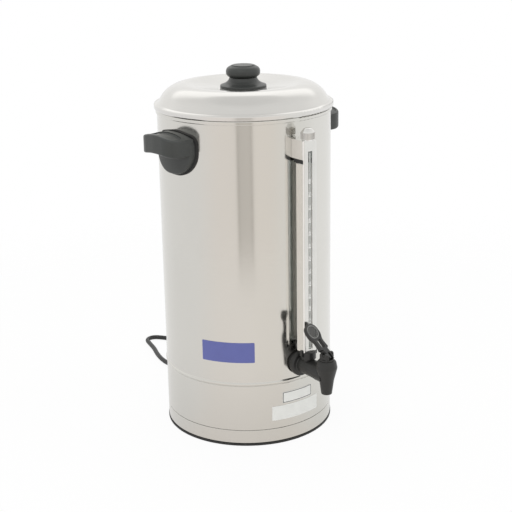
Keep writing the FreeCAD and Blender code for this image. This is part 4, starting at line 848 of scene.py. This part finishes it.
def coil_points(start, heading, cord):
    """Control points of the coil: in through one layer, up, and out through the next."""
    per_turn = COIL_POINTS_A_TURN
    shrink = cord.coil_pitch / (2 * math.pi)
    turns = 2 * math.pi * cord.coil_turns
    lead = math.atan2(-shrink, cord.coil_radius)
    first = math.atan2(heading.y, heading.x) - math.pi / 2 + lead
    centre = start - Vector((math.cos(first), math.sin(first), 0)) * cord.coil_radius
    inner = cord.coil_radius - shrink * turns
    swell = 1 / math.cos(math.pi / per_turn)
    points = []
    for k in range(round((2 * turns + math.pi) / (2 * math.pi) * per_turn) + 1):
        turn = 2 * math.pi * k / per_turn
        over = turn - turns
        if over <= 0:
            radius, rise = cord.coil_radius - shrink * turn, 0.0
        elif over <= math.pi:
            radius = inner - shrink * math.sin(over)
            rise = cord.coil_pitch * (1 - math.cos(over)) / 2
        else:
            radius, rise = inner + shrink * (over - math.pi), cord.coil_pitch
        ray = Vector((math.cos(first + turn), math.sin(first + turn), 0))
        points.append(centre + ray * radius * swell + Vector((0, 0, rise)))
    leaving = Vector((-ray.y, ray.x, 0))
    return points, leaving


def cord_points(cord):
    """Every control point of the cord, and its heading at the plug."""
    route = [Vector(p) * MM for p in CORD_ROUTE]
    heading = (route[-1] - route[-2]).normalized()
    coil, leaving = coil_points(route[-1] + heading * cord.diameter, heading, cord)
    start = coil[-1] + leaving * cord.diameter
    left = Vector((-leaving.y, leaving.x, 0))
    tail = []
    for step, aside, height in TAIL_STEPS:
        place = start + leaving * step * MM + left * aside * MM
        tail.append(Vector((place.x, place.y, height * MM)))
    return route + coil + tail, (tail[-1] - tail[-2]).normalized()


def grooves(root, tip, reach, start, pitch, number, section):
    """(radius, height) pairs of grooves round a taper from its root to its tip."""
    points = []
    for k in range(number):
        for along, depth in section:
            at = start + pitch * k + along
            points.append((root + (tip - root) * at / reach - depth * MM, at))
    return points


class URN_OT_power_cord(bpy.types.Operator):
    """Make the cord on one smooth curve, with its strain reliefs and its plug"""
    bl_idname = "urn.power_cord"
    bl_label = "Power Cord"

    def execute(self, context):
        cord = props().cord
        points, heading = cord_points(cord)
        curve = bpy.data.curves.new("power_cord", "CURVE")
        curve.dimensions = "3D"
        spline = curve.splines.new("NURBS")
        spline.points.add(len(points) - 1)
        for control, point in zip(spline.points, points):
            control.co = (*point, 1.0)
        spline.order_u = 3
        spline.use_endpoint_u = True
        curve.resolution_u = 6
        curve.bevel_depth = cord.diameter / 2
        curve.bevel_resolution = 5
        curve.use_fill_caps = True
        flex = made("power_cord", curve)
        fit(flex, "cord_sheath", "urn", "rubber_black", "cord_lead", "cord_coil", "cord_tail")
        relief = self.strain_relief(cord)
        neck = self.plug_neck(cord, points[-1], heading)
        dress("cord_sheath", "plug_body")
        dress("brass", "plug_pins")
        return {"FINISHED"}

    def strain_relief(self, cord):
        """A tapered relief with round grooves, from inside the wall to its tip."""
        reach, root, tip = cord.relief_length, 6.4 * MM, 4.5 * MM
        inside, neck, flange, first = 8.0 * MM, 5.8 * MM, 8.5 * MM, 4.2 * MM
        pitch = (reach - first - 2.4 * MM) / cord.relief_grooves
        section = [(share * pitch, depth) for share, depth in RELIEF_GROOVE]
        profile = [
            (0, -inside), (neck, -inside), (neck, 0), (flange - 0.5 * MM, 0), (flange, 0.5 * MM),
            (flange, 2.0 * MM), (flange - 0.6 * MM, 2.6 * MM), (root, 3.2 * MM),
            *grooves(root, tip, reach, first, pitch, cord.relief_grooves, section),
            (tip + 0.15 * MM, reach - 1.6 * MM), (tip - 0.1 * MM, reach - 0.3 * MM),
            (tip - 0.5 * MM, reach), (0, reach)]
        outward = Matrix.Translation(RELIEF_PLACE) @ Matrix.Rotation(-math.pi / 2, 4, "X")
        mesh = lathe("cord_strain_relief", profile, outward, 48)
        return smooth_piece("cord_strain_relief", mesh, "cord_sheath", "urn", "rubber_black", "cord_gland",
                            crease=50.0)

    def plug_neck(self, cord, end, heading):
        """A short ribbed relief where the cord enters the plug."""
        reach, root, tip = 18.0 * MM, 6.2 * MM, 4.3 * MM
        sunk, first, pitch = 1.0 * MM, 1.6 * MM, 3.6 * MM
        section = [(along * MM, depth) for along, depth in NECK_GROOVE]
        profile = [
            (0, -sunk), (root, -sunk), (root, first / 2),
            *grooves(root, tip, reach, first, pitch, cord.neck_grooves, section),
            (tip, reach - 0.6 * MM), (tip - 0.5 * MM, reach), (0, reach)]
        back = Vector((0, 0, 1)).rotation_difference(-heading).to_matrix().to_4x4()
        place = Matrix.Translation(end + heading * 2.0 * MM) @ back
        mesh = lathe("plug_neck", profile, place, 40)
        return smooth_piece("plug_neck", mesh, "cord_sheath", "urn", "rubber_black", crease=50.0)


# Tank and base

# The seam's turn from the tap, the heights that it spans on the tank and on the base, half its width,
# how far it wavers and the phase of that from row to row, and its section as (share of the half width,
# millimetres proud of the wall)
SEAM_TURN = math.radians(158.0)
SEAM_SPANS = ((0.0935, 0.4335), (0.0245, 0.0845))
SEAM_HALF = 1.1 * MM
SEAM_WAVER = 0.12 * MM
SEAM_PHASE = 0.9
SEAM_SECTION = ((-1.0, -0.05), (-0.55, 0.10), (0.0, 0.13), (0.55, 0.10), (1.0, -0.05))

# The widest strip of a wrapped plate, and how far a screw's shank starts inside its head
STRIP_WIDTH = 1.4 * MM
SHANK_SUNK = 0.3 * MM


class URN_OT_steelwork(bpy.types.Operator):
    """Finish the tank, the base and the foot, and add the weld seams at the back"""
    bl_idname = "urn.steelwork"
    bl_label = "Tank and Base"

    def execute(self, context):
        dress("tank_steel", "tank_wall", "base_shell", "base_ring")
        dress("inner_steel", "tank_bottom", "bottom_cover")
        dress("rubber", "foot_trim")
        seams = bmesh.new()
        for low, high in SEAM_SPANS:
            self.seam(seams, low, high)
        mesh = closed_mesh("weld_seams", seams)
        smooth_piece("weld_seams", mesh, "bright_steel", "urn", "steel_brushed")
        return {"FINISHED"}

    def seam(self, bm, low, high, steps=60):
        """A low, flat bead down the wall, proud by an eighth of a millimetre."""
        rows = []
        for k in range(steps + 1):
            level = low + (high - low) * k / steps
            waver = SEAM_WAVER * math.sin(SEAM_PHASE * k)
            row = []
            for share, proud in SEAM_SECTION:
                turn = SEAM_TURN + (SEAM_HALF * share + waver) / BODY_RADIUS
                row.append(bm.verts.new(round_wall(turn, BODY_RADIUS + proud * MM, level)))
            rows.append(row)
        for lower, upper in zip(rows, rows[1:]):
            for k in range(-1, len(SEAM_SECTION) - 1):
                bm.faces.new((lower[k], lower[k + 1], upper[k + 1], upper[k]))
        bm.faces.new(list(reversed(rows[0])))
        bm.faces.new(rows[-1])


class URN_OT_plates(bpy.types.Operator):
    """Make the bare plates on the tank and the base"""
    bl_idname = "urn.plates"
    bl_label = "Bare Plates"

    def execute(self, context):
        plates = props().plates
        radius = BODY_RADIUS + plates.gap
        for name, key in (("front", "plate_blue"), ("framed", "plate_pale"), ("lower", "plate_pale")):
            outline = self.outline(name, plates, radius, 0.0, plates.corner)
            self.wrapped(name + "_plate", [outline], radius, plates.thickness, key)
        face = radius + plates.thickness
        line = [self.outline("framed", plates, face, inset, plates.line_corner)
                for inset in (plates.line_margin, plates.line_margin + plates.line_width)]
        self.wrapped("framed_plate_line", line, face, plates.line_thickness, "print_black")
        return {"FINISHED"}

    def outline(self, name, plates, radius, inset, corner):
        """A plate's outline, unrolled from the wall and drawn in all round."""
        start, stop, low, high = [getattr(plates, name + edge) for edge in ("_from", "_to", "_low", "_high")]
        return rounded_outline(start * radius + inset, stop * radius - inset, low + inset, high - inset,
                               corner)

    def wrapped(self, name, loops, radius, thick, key):
        """Cut a flat outline, or the band between two, into strips, wrap it on the wall and thicken it."""
        bm = bmesh.new()
        outer, *inner = [[bm.verts.new((x, z, 0)) for x, z in loop] for loop in loops]
        if inner:
            for k in range(-1, len(outer) - 1):
                bm.faces.new((outer[k], outer[k + 1], inner[0][k + 1], inner[0][k]))
        else:
            bm.faces.new(outer)
        left = min(v.co.x for v in bm.verts)
        right = max(v.co.x for v in bm.verts)
        strips = max(8, int((right - left) / STRIP_WIDTH))
        for k in range(1, strips):
            x = left + (right - left) * k / strips
            bmesh.ops.bisect_plane(bm, geom=bm.verts[:] + bm.edges[:] + bm.faces[:], plane_co=(x, 0, 0),
                                   plane_no=(1, 0, 0))
        for vertex in bm.verts:
            vertex.co = round_wall(vertex.co.x / radius, radius, vertex.co.y)
        flat = made(name + "_flat", plain_mesh(name, bm))
        face = flat.data.polygons[0]
        outwards = face.normal.x * face.center.x + face.normal.y * face.center.y > 0
        solid = flat.modifiers.new("thickness", "SOLIDIFY")
        solid.thickness = thick
        solid.offset = 1.0 if outwards else -1.0
        smooth_piece(name, as_mesh(name, flat), key, "urn", "steel_brushed", crease=20.0)


class URN_OT_screws(bpy.types.Operator):
    """Make the cross-recessed screws of the bottom cover, and finish those of the handles"""
    bl_idname = "urn.screws"
    bl_label = "Screws"

    def execute(self, context):
        mesh = self.cover_screws(props().screws)
        smooth_piece("cover_screw_heads", mesh, "zinc", "urn", "zinc_screw", "cover_screws")
        dress("zinc", "handle_screws")
        return {"FINISHED"}

    def cover_screws(self, screws):
        """One screw with a cross recess, repeated round the cover; its head points down."""
        tree = Tree("cover_screw_heads")
        radius = tree.ask("Head radius", screws.head_radius)
        height = tree.ask("Head height", screws.head_height)
        seat = tree.ask("Head seat", screws.seat)
        head = tree.moved(tree.bar(40, radius, height),
                          Translation=tree.vector(z=tree.maths("SUBTRACT", seat, tree.half(height))))
        block = tree.add("GeometryNodeMeshCube", {"Size": tree.vector(
            tree.maths("MULTIPLY", radius, 1.1), tree.ask("Recess width", screws.recess_width),
            tree.ask("Recess height", screws.recess_height))}).outputs["Mesh"]
        low = tree.maths("SUBTRACT", seat, height)
        middle = tree.vector(z=tree.maths("ADD", low, tree.ask("Recess middle", screws.recess_middle)))
        arms = [tree.moved(block, Translation=middle, Rotation=(0, 0, turn)) for turn in (0.0, math.pi / 2)]
        cut = tree.add("GeometryNodeMeshBoolean", {0: head, 1: tree.together(*arms)},
                       operation="DIFFERENCE", solver="EXACT")
        length = tree.ask("Shank length", screws.shank_length)
        foot = tree.maths("SUBTRACT", seat, SHANK_SUNK)
        shank = tree.moved(tree.bar(24, tree.ask("Shank radius", screws.shank_radius), length),
                           Translation=tree.vector(z=tree.maths("ADD", foot, tree.half(length))))
        ring = tree.loop(tree.ask("Screws", screws.number), tree.ask("Screw circle", screws.circle))
        ring = tree.moved(ring, Rotation=(0, 0, math.pi / 4))
        return tree.run(tree.copies(ring, tree.together(cut.outputs["Mesh"], shank)), "zinc")


# Lid, knob and handles

# How much the corners of a thumb rest are drawn in
CORNER_PULL = 0.10


class URN_OT_lid(bpy.types.Operator):
    """Finish the lid, its ring and its knob"""
    bl_idname = "urn.lid"
    bl_label = "Lid and Knob"

    def execute(self, context):
        dress("lid_steel", "lid_dome")
        dress("inner_steel", "lid_ring")
        dress("handle_plastic", "knob_skirt", "knob_head")
        dress("zinc", "knob_screw", "knob_washer")
        return {"FINISHED"}


class URN_OT_handles(bpy.types.Operator):
    """Finish the two hooded handles and their gaskets, and make the thumb rests in their ledges"""
    bl_idname = "urn.handles"
    bl_label = "Handles"

    def execute(self, context):
        rest = props().thumb_rest
        for side, turn in (("left", rest.left_turn), ("right", rest.right_turn)):
            dress("handle_plastic", "handle_" + side)
            dress("rubber", "handle_gasket_" + side)
            name = "thumb_rest_" + side
            smooth_piece(name, self.thumb_rest(name, rest, turn), "handle_plastic", "urn", "handle_black",
                         crease=50.0)
        return {"FINISHED"}

    def thumb_rest(self, name, rest, turn, steps=24):
        """A dished pad in the ledge's hollow, its crown following the ledge's arch.

        High powers keep its outline nearly square and the rim of the dish narrow.
        """
        middle = (rest.near + rest.far) / 2
        half_depth = (rest.far - rest.near) / 2
        arch = rest.arch_half ** 2 / (2 * rest.arch_rise) + rest.arch_rise / 2
        lowest = rest.floor + rest.least
        shares = [math.sin(math.pi * (k / steps - 0.5)) for k in range(steps + 1)]
        bm = bmesh.new()
        rows = []
        for along in shares:
            row = []
            for aside in shares:
                out = along * math.sqrt(1 - CORNER_PULL * aside ** 8)
                y = aside * math.sqrt(1 - CORNER_PULL * along ** 8) * rest.half_width
                crown = rest.arch_top - arch + math.sqrt(arch ** 2 - y ** 2)
                edge = max(abs(along), abs(aside)) ** 6
                depth = rest.drop + rest.dish * (1 - edge) + rest.slope * (1 - along) / 2
                row.append(bm.verts.new((middle + out * half_depth, y, max(crown - depth, lowest))))
            rows.append(row)
        for low, high in zip(rows, rows[1:]):
            for k in range(steps):
                bm.faces.new((low[k], low[k + 1], high[k + 1], high[k]))
        skirt = bmesh.ops.extrude_edge_only(bm, edges=[e for e in bm.edges if e.is_boundary])
        for part in skirt["geom"]:
            if isinstance(part, bmesh.types.BMVert):
                part.co.z = rest.floor
        bmesh.ops.contextual_create(bm, geom=[e for e in bm.edges if e.is_boundary])
        bmesh.ops.rotate(bm, verts=bm.verts, cent=(0, 0, 0), matrix=Matrix.Rotation(turn, 3, "Z"))
        return closed_mesh(name, bm)


# Sight gauge

# The size of font whose numerals are one high
FONT_SIZE = 1.38


class URN_OT_gauge(bpy.types.Operator):
    """Finish the sight gauge and make its scale and its cap's grip ribs"""
    bl_idname = "urn.gauge"
    bl_label = "Sight Gauge"

    def execute(self, context):
        gauge = props().gauge
        dress("pale_steel", "gauge_bracket")
        dress("bright_steel", "gauge_cap")
        dress("guard_steel", "gauge_channel")
        dress("rubber", "gauge_collar")
        dress("glass", "gauge_tube")
        dress("tap_plastic", "gauge_nut")
        dress("silicone", "gauge_seal")
        dress("zinc", "bracket_nut")
        smooth_piece("gauge_cap_ribs", self.cap_ribs(gauge), "inner_steel", "urn", "steel_polished")
        film = self.strips("gauge_film", "scale_film", 1, gauge.film_height, gauge.film_middle,
                           gauge.film_lift, gauge.film_from, gauge.film_to)
        smooth_piece("gauge_film", film, "scale_film", "urn", "gauge_glass")
        marks = self.strips("gauge_marks", "print_white", gauge.mark_count, gauge.mark_height, gauge.top_mark,
                            gauge.mark_lift, gauge.mark_from, gauge.mark_to)
        smooth_piece("gauge_marks", marks, "print_white", "urn", "gauge_glass")
        fit(made("gauge_numbers", self.numbers(gauge)), "print_white", "urn", "gauge_glass")
        return {"FINISHED"}

    def cap_ribs(self, gauge):
        """Upright round ribs, half sunk in the lower part of the cap."""
        low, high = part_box("gauge_cap")
        tree = Tree("gauge_cap_ribs")
        height = tree.ask("Rib height", gauge.rib_height)
        rib = tree.bar(10, tree.ask("Rib radius", gauge.rib_radius), height)
        middle = tree.maths("ADD", tree.ask("Rib foot", low.z + gauge.rib_foot), tree.half(height))
        ring = tree.loop(tree.ask("Ribs", gauge.rib_count), tree.ask("Rib circle", (high.x - low.x) / 2))
        ring = tree.moved(ring, Translation=tree.vector(0.0, GAUGE_AXIS.y, middle))
        return tree.run(tree.copies(ring, rib), "inner_steel")

    def strips(self, name, key, number, height, top, lift, start, stop):
        """Thin curved strips on the front of the glass, one under the other."""
        gauge = props().gauge
        tree = Tree(name)
        arc = tree.add("GeometryNodeCurveArc", {
            "Resolution": 25, "Radius": tree.ask("Radius", gauge.tube_radius + lift),
            "Start Angle": start - math.pi / 2, "Sweep Angle": stop - start}).outputs["Curve"]
        band = tree.add("GeometryNodeCurvePrimitiveQuadrilateral", {
            "Width": gauge.strip_thickness, "Height": tree.ask("Strip height", height)}).outputs["Curve"]
        step = tree.maths("MULTIPLY", tree.ask("Pitch", gauge.mark_pitch), -1.0)
        line = tree.add("GeometryNodeMeshLine", {
            "Count": tree.ask("Strips", number), "Offset": tree.vector(z=step),
            "Start Location": tree.vector(0.0, GAUGE_AXIS.y, tree.ask("Top strip", top))}).outputs["Mesh"]
        return tree.run(tree.copies(line, tree.swept(arc, band, True)), key)

    def numbers(self, gauge):
        """Plain numbers above the marks, wrapped on the glass."""
        bm = bmesh.new()
        for k in range(gauge.mark_count):
            text = bpy.data.curves.new("number", "FONT")
            text.body = str(gauge.first_number + gauge.number_step * (gauge.mark_count - 1 - k))
            text.align_x = "CENTER"
            text.size = gauge.number_height * FONT_SIZE
            text.extrude = gauge.number_depth
            text.offset = gauge.number_weight
            text.resolution_u = 3
            mesh = as_mesh("number", made("number", text))
            foot = gauge.top_mark - gauge.mark_pitch * k + gauge.number_rise
            for vertex in mesh.vertices:
                x, up, out = vertex.co
                turn = x / gauge.tube_radius + gauge.number_turn
                radius = gauge.tube_radius + gauge.number_lift + out
                vertex.co = GAUGE_AXIS + round_wall(turn, radius, foot + up)
            bm.from_mesh(mesh)
        bmesh.ops.remove_doubles(bm, verts=bm.verts, dist=MERGE)
        return plain_mesh("gauge_numbers", bm)


# Tap

# The lever's pin, and the turn and the lean of its pad
LEVER_PIN = VALVE_AXIS + Vector((0, 0, 141.1 * MM))
LEVER_TURN = math.radians(110.0)
LEVER_LEAN = math.radians(48.8)

# The radius of a stud's top and foot in stud widths, and the points along a side of their grid
STUD_TOP, STUD_FOOT = 0.16, 0.62
GRID_POINTS = 15


class URN_OT_tap(bpy.types.Operator):
    """Finish the tap and make its spring and the studs and bead in its lever's recess"""
    bl_idname = "urn.tap"
    bl_label = "Tap and Lever"

    def execute(self, context):
        dress("tap_plastic", "tap_arm", "tap_nut", "valve_body", "bonnet", "valve_stem", "lever", "lever_pin")
        dress("silicone", "tap_gasket_inner", "seat_cup")
        dress("rubber", "tap_gasket_outer")
        self.spring(props().spring)
        grip = props().lever_grip
        place = (Matrix.Translation(LEVER_PIN) @ Matrix.Rotation(LEVER_TURN, 4, "Z")
                 @ Matrix.Rotation(-LEVER_LEAN, 4, "Y") @ Matrix.Translation((grip.reach, 0, grip.floor)))
        # The studs and the bead take a pale colour as painted highlight on the lever's black plastic
        studs = self.studs(grip)
        studs.transform(place)
        fit(made("lever_grip_studs", studs), "grip_plastic", "lever", "tap_black")
        bead = self.bead(grip)
        bead.transform(place)
        smooth_piece("lever_grip_bead", bead, "grip_plastic", "lever", "tap_black", crease=60.0)
        return {"FINISHED"}

    def spring(self, spring):
        """A helix between the ends of its solid; its upper end stays at the bonnet."""
        low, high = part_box("valve_spring")
        tree = Tree("valve_spring_coil")
        wire = tree.ask("Wire", spring.wire)
        radius = tree.half(tree.maths("SUBTRACT", high.x - low.x, wire))
        helix = tree.add("GeometryNodeCurveSpiral", {
            "Resolution": 32, "Rotations": tree.ask("Turns", float(spring.turns)), "Start Radius": radius,
            "End Radius": radius, "Height": tree.maths("SUBTRACT", high.z - low.z, wire)}).outputs["Curve"]
        mesh = tree.run(tree.swept(helix, tree.circle(12, tree.half(wire)), True), "bright_steel")
        mesh.transform(Matrix.Translation((VALVE_AXIS.x, VALVE_AXIS.y, low.z + spring.wire / 2)))
        piece = smooth_piece("valve_spring_coil", mesh, "bright_steel", "urn", "steel_plain", "valve_spring",
                             crease=60.0)
        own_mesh(piece)

    def studs(self, grip):
        """Small cut pyramids on a diagonal grid, kept inside an oval."""
        tree = Tree("lever_grip_studs")
        width = tree.ask("Stud width", grip.stud_width)
        stud = tree.add("GeometryNodeMeshCone", {
            "Vertices": 4, "Radius Top": tree.maths("MULTIPLY", width, STUD_TOP),
            "Radius Bottom": tree.maths("MULTIPLY", width, STUD_FOOT),
            "Depth": tree.ask("Stud height", grip.stud_height)}).outputs["Mesh"]
        span = tree.maths("MULTIPLY", tree.ask("Pitch", grip.pitch), float(GRID_POINTS - 1))
        grid = tree.add("GeometryNodeMeshGrid", {
            "Size X": span, "Size Y": span, "Vertices X": GRID_POINTS, "Vertices Y": GRID_POINTS})
        grid = tree.moved(grid.outputs["Mesh"], Rotation=(0, 0, math.pi / 4))
        at = tree.parts(tree.add("GeometryNodeInputPosition").outputs["Position"])
        shares = [tree.maths("POWER", tree.maths("DIVIDE", at[axis], tree.ask(name, half)), 2.0)
                  for axis, name, half in (("X", "Half length", grip.half_length),
                                           ("Y", "Half width", grip.half_width))]
        outside = tree.maths("GREATER_THAN", tree.maths("ADD", *shares), 1.0)
        inside = tree.add("GeometryNodeDeleteGeometry", {"Geometry": grid, "Selection": outside})
        return tree.run(tree.copies(inside.outputs["Geometry"], stud), "grip_plastic")

    def bead(self, grip):
        """A round bead on an oval, just outside the studs."""
        tree = Tree("lever_grip_bead")
        margin = tree.ask("Bead margin", grip.bead_margin)
        half_length = tree.maths("ADD", tree.ask("Half length", grip.half_length), margin)
        half_width = tree.maths("ADD", tree.ask("Half width", grip.half_width), margin)
        oval = tree.moved(tree.circle(72, 1.0), Scale=tree.vector(half_length, half_width, 1.0))
        section = tree.circle(14, tree.ask("Bead radius", grip.bead_radius))
        return tree.run(tree.swept(oval, section, False), "grip_plastic")


# Inside

class URN_OT_inside(bpy.types.Operator):
    """Finish the percolator and the heater"""
    bl_idname = "urn.inside"
    bl_label = "Percolator and Heater"

    def execute(self, context):
        dress("aluminium", "pump_foot", "pump_tube", "brew_basket", "basket_spreader", "heater_plate")
        dress("element_sheath", "main_element", "keep_warm_element")
        dress("inner_steel", "heater_strap")
        dress("zinc", "heater_stud", "heater_nut")
        dress("ceramic", "boil_thermostat", "cutout_thermostat", "terminal_block")
        return {"FINISHED"}


# Panel and registration

class Urn(bpy.types.PropertyGroup):
    """Everything that a user would change."""
    finishes: PointerProperty(type=UrnFinishes, name="Finishes")
    plates: PointerProperty(type=UrnPlates, name="Plates")
    screws: PointerProperty(type=UrnScrews, name="Screws")
    gauge: PointerProperty(type=UrnGauge, name="Sight gauge")
    lever_grip: PointerProperty(type=UrnLeverGrip, name="Lever grip")
    spring: PointerProperty(type=UrnSpring, name="Valve spring")
    thumb_rest: PointerProperty(type=UrnThumbRest, name="Thumb rests")
    cord: PointerProperty(type=UrnCord, name="Power cord")
    studio: PointerProperty(type=UrnStudio, name="Studio")


OPERATORS = (
    URN_OT_stage, URN_OT_power_cord, URN_OT_steelwork, URN_OT_plates, URN_OT_screws, URN_OT_lid,
    URN_OT_handles, URN_OT_gauge, URN_OT_tap, URN_OT_inside)


class URN_PT_pieces(bpy.types.Panel):
    """Lists the urn's pieces and their sizes in the sidebar."""
    bl_label = "Coffee Urn"
    bl_idname = "URN_PT_pieces"
    bl_space_type = "VIEW_3D"
    bl_region_type = "UI"
    bl_category = "Urn"

    def draw(self, context):
        for operator in OPERATORS:
            self.layout.operator(operator.bl_idname)
        for group in Urn.__annotations__:
            box = self.layout.box()
            values = getattr(context.scene.urn, group)
            for name in values.__annotations__:
                box.prop(values, name)


CLASSES = (
    UrnFinishes, UrnPlates, UrnScrews, UrnGauge, UrnLeverGrip, UrnSpring, UrnThumbRest, UrnCord, UrnStudio,
    Urn, *OPERATORS, URN_PT_pieces)


def register():
    for cls in CLASSES:
        bpy.utils.register_class(cls)
    bpy.types.Scene.urn = PointerProperty(type=Urn)


def unregister():
    del bpy.types.Scene.urn
    for cls in reversed(CLASSES):
        bpy.utils.unregister_class(cls)


def main():
    register()
    bpy.context.scene.view_settings.view_transform = "Standard"
    bpy.ops.urn.stage()
    bpy.ops.urn.power_cord()
    bpy.ops.urn.steelwork()
    bpy.ops.urn.plates()
    bpy.ops.urn.screws()
    bpy.ops.urn.lid()
    bpy.ops.urn.handles()
    bpy.ops.urn.gauge()
    bpy.ops.urn.tap()
    bpy.ops.urn.inside()


if __name__ == "__main__":
    main()
